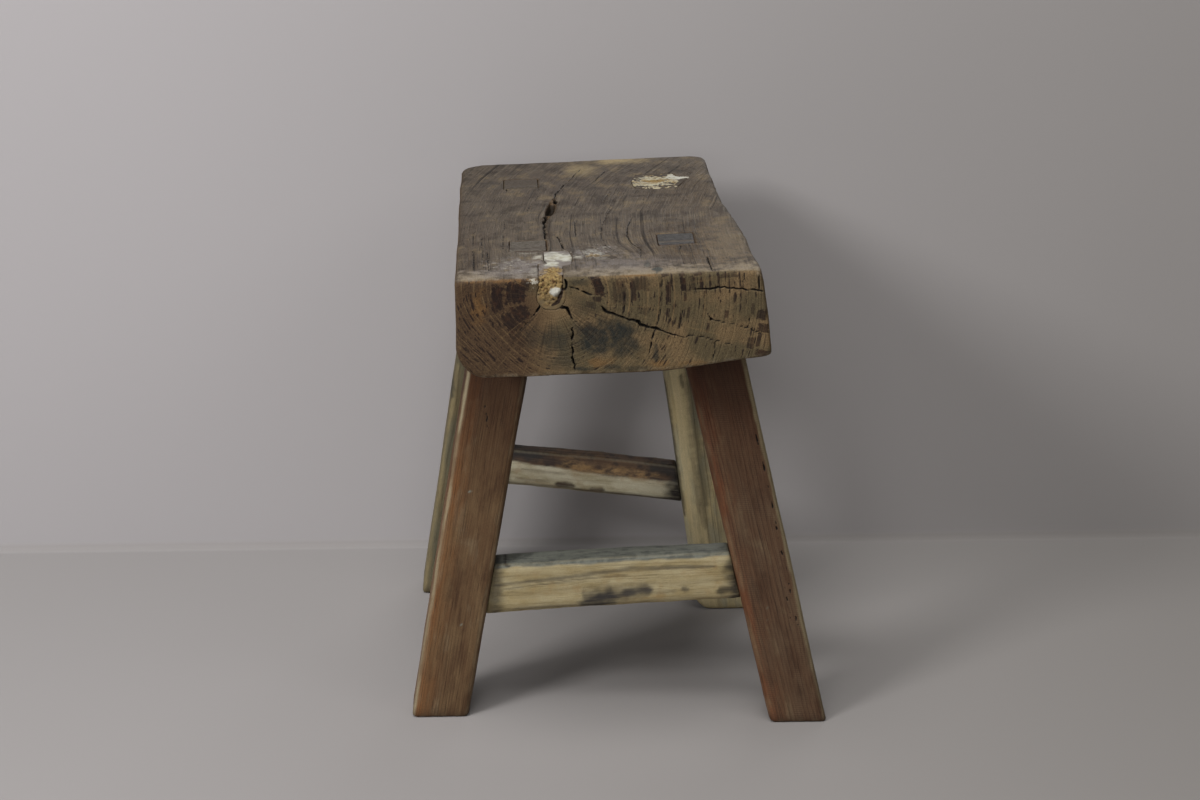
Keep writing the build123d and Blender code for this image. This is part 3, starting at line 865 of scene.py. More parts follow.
def shadeTop(place, grain, fibre, middle, broad):
    # top: weathered grey with fine broken dark lines along the rings
    look = seat
    rings = placeRings(grain, spacing=4.4, warp=1.0, line=0.13)
    closer = placeRings(grain, spacing=2.2, warp=1.0, line=0.2)
    uneven = spread(middle, 0.2, 0.8, 0.2, 0.8)
    tanned = topPatches(
        place, uneven, 1.0, (150, 60, 60, 80, 0.9), (150, 200, 50, 90, 0.5), (8, 60, 18, 80, 0.5),
    )
    brown = topPatches(place, uneven, 1.0, (70, 235, 105, 95, 0.6), (4, 120, 26, 120, 0.5))
    top = blend(tanned, look["topGrey"], look["topTan"])
    top = blend(brown, top, look["topBrown"])
    mottle = cloud(scaled(place, (0.085, 0.062, 0.06)), 1.0, 4.0, 0.62)
    top = layers(top, look, (
        (spread(mottle, 0.5, 0.64, 0.0, 0.66), "topDark"),
        (spread(mottle, 0.46, 0.34, 0.0, 0.5), "topWarm"),
        (spread(fibre["Streak"], 0.48, 0.74, 0.0, 0.32), "topDark"),
        (spread(fibre["Streak"], 0.46, 0.24, 0.0, 0.24), "frontBand"),
        (times(spread(closer["Line"], 0.2, 0.9), spread(fibre["Patch"], 0.42, 0.62, 0.04, 0.42)),
            "topDark"),
        (times(spread(rings["Line"], 0.35, 0.9), plus(times(spread(fibre["Patch"], 0.5, 0.6), 0.72), 0.04)),
            "topLine"),
        (times(fibre["Pore"], 0.6), "topLine"),
        (topPatches(place, uneven, 0.9, (116, 3, 66, 20, 0.65), (14, 6, 18, 15, 0.7), (60, 6, 40, 10, 0.35),
            (165, 60, 22, 60, 0.25), (172, 6, 26, 20, 0.6)), "frontBand"),
        (topPatches(place, spread(middle, 0.2, 0.8, 0.36, 0.64), 1.0, (108, 292, 26, 17, 0.75),
            (82, 268, 16, 30, 0.5)), "sapwood"),
        # a pale haze on the front of the top, with painted sheen
        (topPatches(place, uneven, 1.0, (40, 26, 24, 30, 0.7), (84, 50, 22, 20, 0.6), (24, 12, 24, 14, 0.5),
            (100, 24, 44, 24, 0.42)), "hazeAndSheen"),
        (times(topPatches(place, uneven, 0.9, (36, 34, 22, 26, 0.8), (86, 56, 20, 16, 0.9),
            (62, 46, 17, 24)), spread(cloud(place, 0.4, 4.0, 0.7), 0.54, 0.66)), "cream"),
        (times(topPatches(place, uneven, 1.1, (49, 49, 6, 7), (42, 56, 8, 3.4, 0.7), (73, 43, 5, 7, 0.8),
            (47, 16, 4, 9, 0.6)), 0.8), "cream"),
        (times(spread(cloud(place, 0.7, 3.0, 0.7), 0.6, 0.7), spread(broad, 0.45, 0.6, 0.05, 0.4)),
            "frontBand"),
        (topPatches(place, uneven, 0.9, (60, 175, 6, 26, 0.8), (56, 130, 4.5, 26, 0.8),
            (56, 96, 4, 12, 0.8)), "rot"),
    ))
    blue = topPatches(
        place, uneven, 0.6, (119.5, 9, 3.6, 9, 0.85), (114, 22, 2.4, 8, 0.6), (36, 234, 20, 13, 0.2),
    )
    return blend(blue, top, look["spot"])


def makeSlabWood():
    look = seat
    material, place = startMaterial("slabWood")
    grain = vector("grain")
    endMask, topMask = value("endGrain"), value("topFace")
    crack, corner = value("crack"), value("cornerWear")
    rings = placeRings(grain, spacing=3.6, warp=1.0, line=0.17)
    fibre = placeFibre(grain, across=0.9, along=0.035)
    fine = cloud(place, 1.4, 3.0, 0.65)
    broad = cloud(place, 0.045, 3.0, 0.55)
    middle = cloud(place, 0.16, 3.0, 0.6)
    end = shadeEnd(place, grain, middle, broad)
    top = shadeTop(place, grain, fibre, middle, broad)

    # sides and underside: long grain
    side = blend(spread(fibre["Streak"], 0.35, 0.8), look["side"], look["endDark"])
    side = layers(side, look, (
        (times(rings["Line"], 0.35), "endLine"),
        (times(fibre["Pore"], 0.5), "topLine"),
        (spread(broad, 0.4, 0.7, 0.0, 0.6), "under"),
    ))

    colour = blend(topMask, side, top)
    colour = blend(endMask, colour, end)
    colour = layers(colour, look, (
        (times(spread(corner, 0.45, 0.95), spread(middle, 0.4, 0.62, 0.05, 0.5)), "frontBand"),
        (spread(fine, 0.42, 0.68, 0.0, 0.5), "grime", "MULTIPLY"),
        # painted shade in the cracks and in the rotten check
        (spread(crack, 0.3, 0.9), "crack"),
    ))

    rough = plus(spread(fibre["Streak"], 0.3, 0.8, 0.52, 0.68), times(endMask, 0.12))
    height = minus(times(fibre["Streak"], 0.55), times(rings["Line"], 0.4))
    height = minus(height, times(fibre["Pore"], 0.4))
    height = plus(height, times(fine, 0.5))
    return finishMaterial(
        material, colour, rough, height, strength=0.55, distance=0.5, specular=look["specular"],
    )


slab = makeSlab()
dress(slab, makeSlabWood())
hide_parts("seat_slab")
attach(slab, "root")
print("seat slab:", len(slab.data.polygons), "faces")


# Legs

legShape = {
    "voxel": 1.3,
    "headHeight": 307.5,
    "tenonHeight": 255.0,
    "hewn": 0.35,
    "cornerReach": 3.6,
    "cornerRounds": 9,
    "foot": (78, 62, 46),
    "stain": (62, 60, 50),
    "speck": (132, 140, 130),
}

# What is particular to each leg: the middles of its foot and of its head at the height of the seat in X
# and Y, the lighter and darker tone of its tenon end, dark stains as runs of X and Z with a half width and
# a strength (on the rear right leg one is painted shade along its left edge), tones (on the rear right leg
# made lighter as painted light), the pith as seen from the leg's middle, the warm side, the pale sapwood
# edge (on the front left leg partly a painted highlight on its arris), saw marks, shade under the seat,
# splits, and small specks at X and Z with a half width
legLooks = {
    # front left leg: its pale left edge is sapwood and partly a painted highlight on the arris
    "front_left_leg": {
        "ends": ((-113.85, -86.3), (-61.45, -75.7)), "tenon": ((102, 95, 86), (72, 65, 56)),
        "stains": (), "main": (98, 74, 51), "warm": (122, 82, 48), "dark": (58, 36, 23),
        "line": (44, 31, 22), "pale": (150, 138, 112), "grey": (110, 87, 61), "pith": (-64.0, 30.0),
        "spacing": 1.7, "warmSide": -10.0, "paleSide": -17.6, "paleWidth": 0.8, "paleBack": 2.0,
        "blotch": 0.42, "saw": 0.0, "shade": 0.85, "shadeTone": (226, 215, 211),
        "splits": ((0.6, 0.6, ((-6, -17, 215), (-1, -17, 196), (5, -17, 180))),),
        "specks": ((-92.6, 151.3, 1.3), (-99.6, 62.6, 1.1)),
    },
    "front_right_leg": {
        "ends": ((113.85, -101.8), (42.25, -72.5)), "tenon": ((78, 75, 73), (54, 52, 50)), "stains": (),
        "main": (90, 67, 49), "warm": (108, 66, 42), "dark": (52, 30, 19), "line": (46, 31, 23),
        "pale": (148, 134, 104), "grey": (98, 77, 58), "pith": (60.0, 46.0), "spacing": 1.9,
        "warmSide": -11.5, "paleSide": 18.0, "paleWidth": 1.6, "paleBack": 8.0, "blotch": 0.42,
        "saw": 1.0, "shade": 0.85, "shadeTone": (255, 236, 222),
        "splits": (
            (1.2, 1.3, (
                (14.5, -17, 205), (14.6, -17, 175), (15.4, -17, 150), (14.0, -17, 126),
                (14.8, -17, 100), (13.4, -17, 76), (14.2, -17, 48), (13.2, -17, 16),
            )),
            (0.8, 1.0, ((11.4, -17, 96), (10.4, -17, 70), (11.2, -17, 44))),
        ),
        "specks": ((93.4, 76.6, 1.2), (93.5, 67.8, 0.9)),
    },
    "rear_left_leg": {
        "ends": ((-112.95, 121.7), (-64.75, 83.6)), "tenon": ((86, 77, 68), (70, 62, 54)),
        "stains": (
            (((-108.0, 165.0), (-108.4, 152.0)), 3.0, 0.9), (((-99, 190), (-102, 178)), 2.0, 0.5),
        ),
        "main": (114, 101, 74), "warm": (124, 106, 72), "dark": (76, 68, 50), "line": (60, 52, 38),
        "pale": (138, 124, 92), "grey": (102, 97, 78), "pith": (-20.0, 52.0), "spacing": 2.6,
        "warmSide": -30.0, "paleSide": -17.6, "paleWidth": 1.2, "paleBack": 60.0, "blotch": 0.22,
        "saw": 0.2, "shade": 0.4, "shadeTone": (240, 236, 230),
        "splits": ((0.8, 1.2, ((-18, -4, 214), (-18, -2, 180), (-18, -4, 150))),), "specks": (),
    },
    # rear right leg: pale wood, its tones made lighter still as painted light for the light under the seat
    "rear_right_leg": {
        "ends": ((80.4, 85.7), (37.05, 74.7)), "tenon": ((92, 84, 74), (70, 62, 54)),
        "stains": (
            (((50.5, 206.0), (55.0, 172.0), (61.5, 120.0), (67.0, 80.0)), 5.0, 0.52),
            # the mark from X 37.5 to 52.5 runs along the left edge: painted shade on the side face
            (((64.0, 84.0), (67.0, 62.0)), 2.6, 0.5), (((37.5, 170.0), (52.5, 71.0)), 1.5, 0.8),
            (((48.5, 175.0), (50.0, 166.0)), 1.4, 0.7),
        ),
        "main": (201, 182, 137), "warm": (204, 184, 134), "dark": (124, 115, 89), "line": (92, 80, 58),
        "pale": (212, 194, 150), "grey": (176, 168, 139), "pith": (26.0, 48.0), "spacing": 3.4,
        "warmSide": -30.0, "paleSide": -9.0, "paleWidth": 5.0, "paleBack": 60.0, "blotch": 0.22,
        "saw": 0.0, "shade": 0.15, "shadeTone": (250, 248, 244),
        "splits": ((0.9, 1.2, ((-17, -8, 190), (-17, -7, 140), (-17, -8, 100))),), "specks": (),
    },
}


def paintMarks(points, marks, shift):
    # soft ragged marks as seen from the front; each is a run of X and Z, a half width and a strength
    shade = np.zeros(len(points))
    wander = fieldNoise(points * (0.5, 1, 1), 3.5, shift)
    for run, width, strength in marks:
        gap, along = lineDistance(points[:, [0, 2]], run)
        taper = np.clip(np.minimum(along, 1 - along) * 5 + 0.55, 0, 1)
        gap = gap / taper + wander * width * 0.4
        shade = np.maximum(shade, strength * (1 - smoothStep(gap, width * 0.1, width * 1.6)))
    return shade


def legMiddle(name, heights):
    foot, head = (np.array(end) for end in legLooks[name]["ends"])
    share = np.asarray(heights)[..., None] / legShape["headHeight"]
    return foot + (head - foot) * share


def makeLeg(name):
    look = legLooks[name]
    piece, tree, corners = fineCopy(name, legShape["voxel"], lambda spots: spots[:, 2] > 295)
    shift = 11.0 + 7.0 * list(legLooks).index(name)
    wearCorners(
        piece, corners, reach=1.4, rounds=3, patchSize=30.0, shift=shift, base=1.0,
        spare=lambda spots: 0.85 * (spots[:, 2] > 290) * (name == "rear_left_leg"),
    )
    corners = corners[corners[:, 2] < 270]
    wearCorners(
        piece, corners, legShape["cornerReach"], legShape["cornerRounds"], patchSize=30.0, shift=shift,
        spare=lambda spots: 0.85 * (1 - smoothStep(spots[:, 2], 3, 10)),
    )
    points = readPoints(piece)
    tenon = smoothStep(points[:, 2], legShape["tenonHeight"] - 12, legShape["tenonHeight"] + 20)
    standing = smoothStep(points[:, 2], 1.0, 8.0)
    wave = fieldNoise(points * (1, 1, 0.45), 24.0, shift) * legShape["hewn"] * (1 - tenon) * standing
    wave = wave + endWave(points)
    writePoints(piece, points + readNormals(piece) * wave[:, None])
    splits = [
        (width, depth, [(legMiddle(name, z)[0] + x, legMiddle(name, z)[1] + y, z) for x, y, z in run])
        for width, depth, run in look["splits"]
    ]
    shade = carveCracks(piece, splits, 0.9)
    points = readPoints(piece)
    facing = relax(solidNormals(points, tree), readEdges(piece), np.full(len(points), 0.6), 1)
    specks = [(((x, z), (x, z + 0.1)), width, 0.8) for x, z, width in look["specks"]]
    keepValues(
        piece, crack=shade,
        grain=np.column_stack([points[:, :2] - legMiddle(name, points[:, 2]), points[:, 2]]),
        endGrain=smoothStep(np.abs(facing[:, 2]), 0.6, 0.85),
        cornerWear=cornerShare(points, corners, 5.0),
        stain=paintMarks(points, look["stains"], shift),
        speck=paintMarks(points, specks, shift),
    )
    return piece


def makeLegWood(name):
    look = legLooks[name]
    material, place = startMaterial(titled(name))
    leg = vector("grain")
    endMask, crack, corner = value("endGrain"), value("crack"), value("cornerWear")
    grain = vectorCalc("SUBTRACT", leg, look["pith"] + (0.0,))
    part = parts(leg)
    rings = placeRings(grain, spacing=look["spacing"], warp=1.6, line=0.22)
    fibre = placeFibre(grain, across=1.1, along=0.018)
    middle = cloud(scaled(leg, (0.12, 0.12, 0.03)), 1.0, 3.0, 0.6)
    fine = cloud(place, 1.6, 3.0, 0.65)

    colour = blend(spread(middle, 0.35, 0.65), look["main"], look["grey"])
    across = plus(part[0], times(minus(middle, 0.5), 16.0))
    warm = times(spread(across, look["warmSide"] + 6, look["warmSide"] - 6), 0.8)
    colour = blend(warm, colour, look["warm"])
    blotch = cloud(scaled(leg, (0.075, 0.075, 0.022)), 1.0, 4.0, 0.65)
    colour = layers(colour, look, (
        (spread(blotch, 0.52, 0.68, 0.0, look["blotch"]), "dark"),
        (spread(blotch, 0.47, 0.34, 0.0, 0.2), "pale"),
        (times(spread(rings["Phase"], 0.25, 0.95), spread(rings["Phase"], 1.0, 0.93), 0.22), "dark"),
        (times(spread(rings["Line"], 0.4, 0.9), spread(fibre["Patch"], 0.4, 0.6, 0.06, 0.5)), "line"),
        (spread(fibre["Streak"], 0.52, 0.78, 0.0, 0.5), "dark"),
        (spread(fibre["Streak"], 0.46, 0.24, 0.0, 0.45), "grey"),
        (times(fibre["Pore"], 0.5), "line"),
        (times(spread(part[2], 150, 262), look["shade"]), "dark"),
        (spread(part[2], 120, 235), "shadeTone", "MULTIPLY"),
    ))
    # the pale edge: sapwood, and on the front left leg partly a painted highlight
    fromPale = minus(plus(part[0], times(minus(middle, 0.5), 4.0)), look["paleSide"])
    sapwood = spread(calc("ABSOLUTE", fromPale), look["paleWidth"] + 1.0, look["paleWidth"] - 0.6)
    toBack = plus(part[1], times(minus(middle, 0.5), 24.0))
    sapwood = times(sapwood, spread(toBack, look["paleBack"], look["paleBack"] - 14))
    sapwood = times(sapwood, spread(blotch, 0.6, 0.46, 0.4, 1.0))
    colour = blend(times(sapwood, spread(fibre["Streak"], 0.35, 0.65, 0.9, 0.6)), colour, look["pale"])

    # fine saw marks across the leg
    sawn = addNode("TexWave", {
        "Vector": scaled(leg, (0.012, 0.012, 1.0)), "Scale": 0.24, "Distortion": 0.9,
        "Detail": 2.0, "Detail Scale": 0.6}, wave_type="BANDS", bands_direction="Z").outputs["Fac"]
    sawn = times(sawn, spread(middle, 0.35, 0.6, 0.0, look["saw"]))
    colour = layers(colour, look, (
        (times(sawn, 0.3), "line"),
        (times(spread(corner, 0.5, 1.0), spread(middle, 0.4, 0.6, 0.05, 0.5), 0.5), "pale"),
    ))

    # the ends: grey tenon ends in the seat, darker sawn feet
    tenonEnd = blend(spread(cloud(place, 0.5, 3.0, 0.6), 0.35, 0.7), *look["tenon"])
    ends = blend(spread(part[2], 20, 280), legShape["foot"], tenonEnd)
    colour = blend(endMask, colour, ends)
    colour = blend(spread(part[2], 9, 0, 0.0, 0.45), colour, look["line"])
    colour = layers(colour, legShape, ((value("stain"), "stain"), (value("speck"), "speck")))
    colour = blend(spread(fine, 0.3, 0.75, 0.0, 0.25), colour, look["line"], "MULTIPLY")
    # the splits darkened: painted shade, and on the front right leg the dark bark along its split
    colour = blend(spread(crack, 0.25, 0.85), colour, seat["crack"])

    rough = spread(fibre["Streak"], 0.3, 0.8, 0.55, 0.72)
    height = minus(times(fibre["Streak"], 0.6), times(fibre["Pore"], 0.35))
    height = plus(height, times(fine, 0.4))
    height = minus(height, times(sawn, 0.3))
    return finishMaterial(
        material, colour, rough, height, strength=0.5, distance=0.45, specular=0.18,
    )


for legName in legLooks:
    leg = makeLeg(legName)
    dress(leg, makeLegWood(legName))
    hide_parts(legName)
    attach(leg, "root")
    print(legName + ":", len(leg.data.polygons), "faces")


# Stretchers

stretcherShape = {"voxel": 1.1, "hewn": 0.5, "cornerReach": 3.2, "cornerRounds": 7}

# The tone of each kind of mark, from the lowest layer up
stretcherMarks = {"pales": "cream", "oranges": "orange", "stains": "stain", "blacks": "black"}

# Line of each stretcher from the middle of its left shoulder to that of its right one, its tones, the
# height of the line between its upper and its front face along X, and marks as runs of X and Z with a half
# width and a strength
stretcherLooks = {
    "front_stretcher": {
        "start": (-82.0, -80.0, 83.1), "finish": (76.0, -87.0, 94.4), "pale": (156, 140, 101),
        "cream": (172, 159, 124), "grain": (108, 94, 66), "top": (110, 112, 103),
        "topDark": (86, 88, 82), "topPale": (150, 148, 134), "orange": (146, 116, 70),
        "stain": (54, 50, 47), "black": (34, 29, 25), "ridge": ((-77.6, 98.6), (67.8, 108.2)),
        "stains": (
            (((-77.2, 87.4), (-36.9, 92.8), (7.2, 99.4), (60.3, 101.8)), 1.4, 0.6),
            (((-74, 84.6), (-50, 88.2), (-20, 92.6), (6, 95.6)), 0.7, 0.45),
            (((-22, 75.2), (-12, 78.4), (-2, 80.6)), 7.4, 1.0),
            (((-12, 79.0), (6, 83.2), (20, 85.2)), 4.4, 0.95), (((40.0, 85.8), (43.5, 86.0)), 2.0, 0.7),
            (((-66, 71.5), (-25, 74.5)), 1.3, 0.4), (((20, 84), (36, 84.5)), 1.6, 0.3),
            (((-60, 91), (-20, 95.5)), 1.0, 0.25),
        ),
        "blacks": (
            (((-78, 66), (-76.5, 100)), 4.4, 0.72), (((75, 76), (72.5, 108)), 6.6, 0.95),
            (((63, 84.5), (70, 86)), 3.2, 0.85),
            (((-71.3, 106), (-71.3, 100.6), (-68.6, 100.0)), 0.85, 1.0),
        ),
        "oranges": (
            (((10, 79.2), (27, 81.0)), 1.6, 0.5), (((-8, 94.0), (12, 96.4)), 1.5, 0.3),
            (((-56, 82.0), (-20, 84.5)), 1.4, 0.3), (((-62, 94), (-50, 97)), 2.4, 0.3),
            (((40, 97), (62, 97)), 2.2, 0.3),
        ),
        "pales": (
            (((-70, 97), (-34, 98.5)), 2.6, 0.6), (((24, 91), (58, 93)), 3.0, 0.4),
            (((-60, 79), (-30, 81)), 3.0, 0.35),
        ),
    },
    "rear_stretcher": {
        "start": (-80.0, 112.0, 96.4), "finish": (52.0, 84.0, 91.1), "pale": (146, 137, 110),
        "cream": (171, 164, 141), "grain": (112, 96, 70), "top": (70, 50, 32), "topDark": (40, 28, 20),
        "topPale": (104, 78, 49), "orange": (130, 102, 65), "stain": (48, 33, 24),
        "black": (32, 26, 22),
        "ridge": ((-64.8, 101.6), (-32.7, 99.0), (-5.1, 96.0), (20.0, 95.0), (42.4, 94.8)),
        "stains": (
            (((-45, 104.5), (-33, 101.8)), 2.4, 0.9), (((-8, 101), (-1, 101)), 1.8, 0.6),
            (((-36, 87.2), (-24, 86.6)), 2.4, 1.0), (((-12, 84.8), (-3, 84.4)), 2.0, 0.9),
            (((-24, 83.6), (46, 79.6)), 1.1, 0.7), (((-64, 90), (-40, 89)), 0.9, 0.3),
            (((-60, 97.5), (-30, 95.5)), 0.8, 0.35),
        ),
        "blacks": (
            (((-72, 107.4), (-46, 105.4)), 3.2, 1.0), (((30, 101.5), (50, 100.5)), 3.2, 1.0),
            (((46.5, 76), (48.5, 102)), 8.0, 1.0), (((-70, 84), (-69, 108)), 2.0, 0.7),
        ),
        "oranges": (
            (((-34, 101.6), (-12, 99.2), (8, 98.0), (34, 97.6)), 3.6, 1.0),
            (((-60, 88), (-30, 86)), 1.2, 0.4),
        ),
        "pales": ((((4, 89.6), (40, 87.4)), 3.4, 0.75), (((-56, 95), (-30, 92.5)), 2.6, 0.4)),
    },
}


def makeStretcher(name):
    look = stretcherLooks[name]
    piece, _, corners = fineCopy(name, stretcherShape["voxel"])
    low, high = (np.array(corner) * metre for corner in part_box(name))
    wearCorners(
        piece, corners, stretcherShape["cornerReach"], stretcherShape["cornerRounds"],
        patchSize=16.0, shift=41.0, base=0.5,
    )
    points = readPoints(piece)
    wave = fieldNoise(points * (0.35, 1, 1), 11.0, 43.0, 3) * stretcherShape["hewn"]
    inside = smoothStep(points[:, 0], low[0] + 14, low[0] + 20)
    inside = inside * (1 - smoothStep(points[:, 0], high[0] - 20, high[0] - 14))
    writePoints(piece, points + readNormals(piece) * (wave * inside)[:, None])
    points = readPoints(piece)
    start, finish = np.array(look["start"]), np.array(look["finish"])
    along = (points[:, 0] - start[0]) / (finish[0] - start[0])
    offset = points - (start + (finish - start) * along[:, None])
    ridge = np.interp(points[:, 0], *zip(*look["ridge"]))
    ridge = ridge + 1.2 * fieldNoise(points * (0.5, 0, 1), 7.0, 47.0)
    keepValues(
        piece, grain=np.column_stack([offset[:, 1], offset[:, 2], points[:, 0]]),
        cornerWear=cornerShare(points, corners, 4.0),
        upper=smoothStep(points[:, 2] - ridge, -0.7, 0.7),
    )
    for index, kind in enumerate(("stains", "blacks", "oranges", "pales")):
        keepValues(piece, **{kind: paintMarks(points, look[kind], 83.0 + 9 * index)})
    return piece


def makeStretcherWood(name):
    look = stretcherLooks[name]
    material, place = startMaterial("hewn" + titled(name))
    own = vector("grain")
    corner = value("cornerWear")
    grain = vectorCalc("ADD", own, (9.0, 6.0, 0.0))
    rings = placeRings(grain, spacing=2.6, warp=1.2, line=0.25)
    fibre = placeFibre(grain, across=0.7, along=0.03)
    middle = cloud(scaled(own, (0.14, 0.14, 0.045)), 1.0, 3.0, 0.6)
    fine = cloud(place, 1.5, 3.0, 0.65)

    colour = blend(spread(middle, 0.35, 0.65), look["pale"], look["cream"])
    colour = layers(colour, look, (
        (spread(fibre["Streak"], 0.52, 0.8, 0.0, 0.45), "grain"),
        (times(rings["Line"], 0.3), "grain"),
        (times(fibre["Pore"], 0.35), "grain"),
        (spread(cloud(place, 0.09, 2.0), 0.55, 0.7, 0.0, 0.35), "orange"),
    ))
    topColour = blend(spread(cloud(place, 0.13, 3.0, 0.6), 0.42, 0.62), look["top"], look["topDark"])
    topColour = blend(spread(fibre["Streak"], 0.48, 0.3, 0.0, 0.45), topColour, look["topPale"])
    colour = blend(value("upper"), colour, topColour)
    mottled = spread(cloud(scaled(place, (0.13, 0.2, 0.3)), 1.0, 3.0, 0.65), 0.3, 0.72)
    streaky = spread(fibre["Streak"], 0.3, 0.5, 0.8, 1.0)
    for layer, over in stretcherMarks.items():
        broken = times(value(layer), mottled if layer == "oranges" else streaky)
        colour = blend(broken, colour, look[over])
    colour = layers(colour, look, (
        (times(spread(corner, 0.5, 1.0), 0.25), "cream"),
        (spread(fine, 0.3, 0.75, 0.0, 0.22), "grain", "MULTIPLY"),
    ))

    rough = spread(fibre["Streak"], 0.3, 0.8, 0.6, 0.76)
    height = minus(times(fibre["Streak"], 0.7), times(fibre["Pore"], 0.35))
    height = plus(height, times(fine, 0.4))
    return finishMaterial(
        material, colour, rough, height, strength=0.5, distance=0.5, specular=0.3,
    )


for stretcherName in stretcherLooks:
    stretcher = makeStretcher(stretcherName)
    dress(stretcher, makeStretcherWood(stretcherName))
    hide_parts(stretcherName)
    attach(stretcher, "root")
    print(stretcherName + ":", len(stretcher.data.polygons), "faces")


# Wedges

wedgeLook = {"light": (88, 80, 72), "dark": (52, 45, 39), "voxel": 0.6}


def makeWedgeWood():
    material, place = startMaterial("wedgeEndGrain")
    fibres = cloud(scaled(place, (0.25, 1.6, 0.2)), 1.0, 3.0, 0.6)
    specks = cloud(place, 1.3, 2.0)
    colour = blend(spread(fibres, 0.35, 0.7), wedgeLook["light"], wedgeLook["dark"])
    colour = blend(spread(specks, 0.55, 0.75, 0.0, 0.5), colour, wedgeLook["dark"])
    rough = spread(specks, 0.3, 0.7, 0.6, 0.75)
    return finishMaterial(
        material, colour, rough, fibres, strength=0.4, distance=0.3, specular=0.3,
    )


wedgeWood = makeWedgeWood()
for corner in ("front_left", "front_right", "rear_left", "rear_right"):
    wedge = fineCopy(corner + "_wedge", wedgeLook["voxel"])[0]
    points = readPoints(wedge)
    writePoints(wedge, points + np.array((0, 0, 1)) * endWave(points)[:, None])
    dress(wedge, wedgeWood)
    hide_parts(corner + "_wedge")
    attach(wedge, "root")
print("wedges made")


# Fillers

# The front edge filler has a white lump, an outline of paste and a crack on its right; their distances
# run in from the left edge and down from the top
fillerLooks = {
    "front_edge_filler": {
        "voxel": 0.55, "crumble": 0.9, "seed": 61.0, "lump": (59.4, 12.3), "lumpReach": (4.4, 4.0, 3.2),
        "paste": (55.8, 5), "pasteReach": (8.8, 1e6, 14.6),
        "crack": ((64.2, 0), (64.6, 8.0), (62.6, 13.0), (60.6, 18.4), (57.0, 20.6)),
    },
    "top_patch_filler": {"voxel": 0.6, "crumble": 0.3, "seed": 67.0},
    "rear_tenon_filler": {"voxel": 0.6, "crumble": 0.4, "seed": 71.0},
}

fillerTones = {
    "cream": (163, 158, 139), "white": (182, 180, 169), "ochre": (118, 94, 56), "light": (147, 126, 82),
    "brown": (72, 48, 28), "grey": (140, 136, 128), "pink": (168, 158, 132), "dark": (40, 28, 19),
}


def makeFiller(name):
    look = fillerLooks[name]
    piece = fineCopy(name, look["voxel"])[0]
    points = readPoints(piece)
    normals = readNormals(piece)
    rotten = np.full(len(points), 0.5)
    if name == "front_edge_filler":
        rotten = np.maximum(1 - smoothStep(points[:, 1], -130, -123), 0.08)
    shown = (points[:, 2] > topHeight(points[:, 0]) - 1.2) | (points[:, 1] < -148.5)
    lumps = fieldNoise(points, 1.9, look["seed"], 3)
    pits = np.clip(lumps, -1, 0.15) * look["crumble"] * 1.6 * rotten * shown
    gap = np.zeros(len(points))
    if name == "front_edge_filler":
        lump = np.array(onEnd([look["lump"]], seat["front"])[0])
        away = np.linalg.norm((points - lump) / look["lumpReach"], axis=1)
        pits = pits * smoothStep(away, 0.5, 1.2) + np.clip(1 - away + 0.35 * lumps, 0, 1) * 1.3 * shown
        # the crack on the right of the paste is pushed in and gets painted shade
        run = [(x, z) for x, _, z in onEnd(look["crack"], 0)]
        gap = paintMarks(points, ((run, 1.2, 1.0),), 5.0) * (points[:, 1] < -144)
        pits = pits - 1.6 * gap
        # plain wood below and beside the paste
        apart = (points - onEnd([look["paste"]], seat["front"])) / look["pasteReach"]
        inPaste = 1 - smoothStep(np.linalg.norm(apart, axis=1) + 0.12 * lumps, 0.88, 1.06)
        inPaste = np.where(points[:, 1] < -148.5, inPaste, 1)
        pits = pits * inPaste
        lumps = lumps * inPaste * smoothStep(away, 0.7, 1.3)
    pits = pits + hewnWave(points) * shown
    writePoints(piece, points + normals * pits[:, None])
    # pit: painted shade in the pits and in the crack
    keepValues(
        piece, rotten=rotten, onEnd=smoothStep(-points[:, 1], 146.5, 148.5),
        pit=np.maximum(np.clip(-lumps * rotten * 1.3, 0, 1) * shown, gap),
    )
    return piece


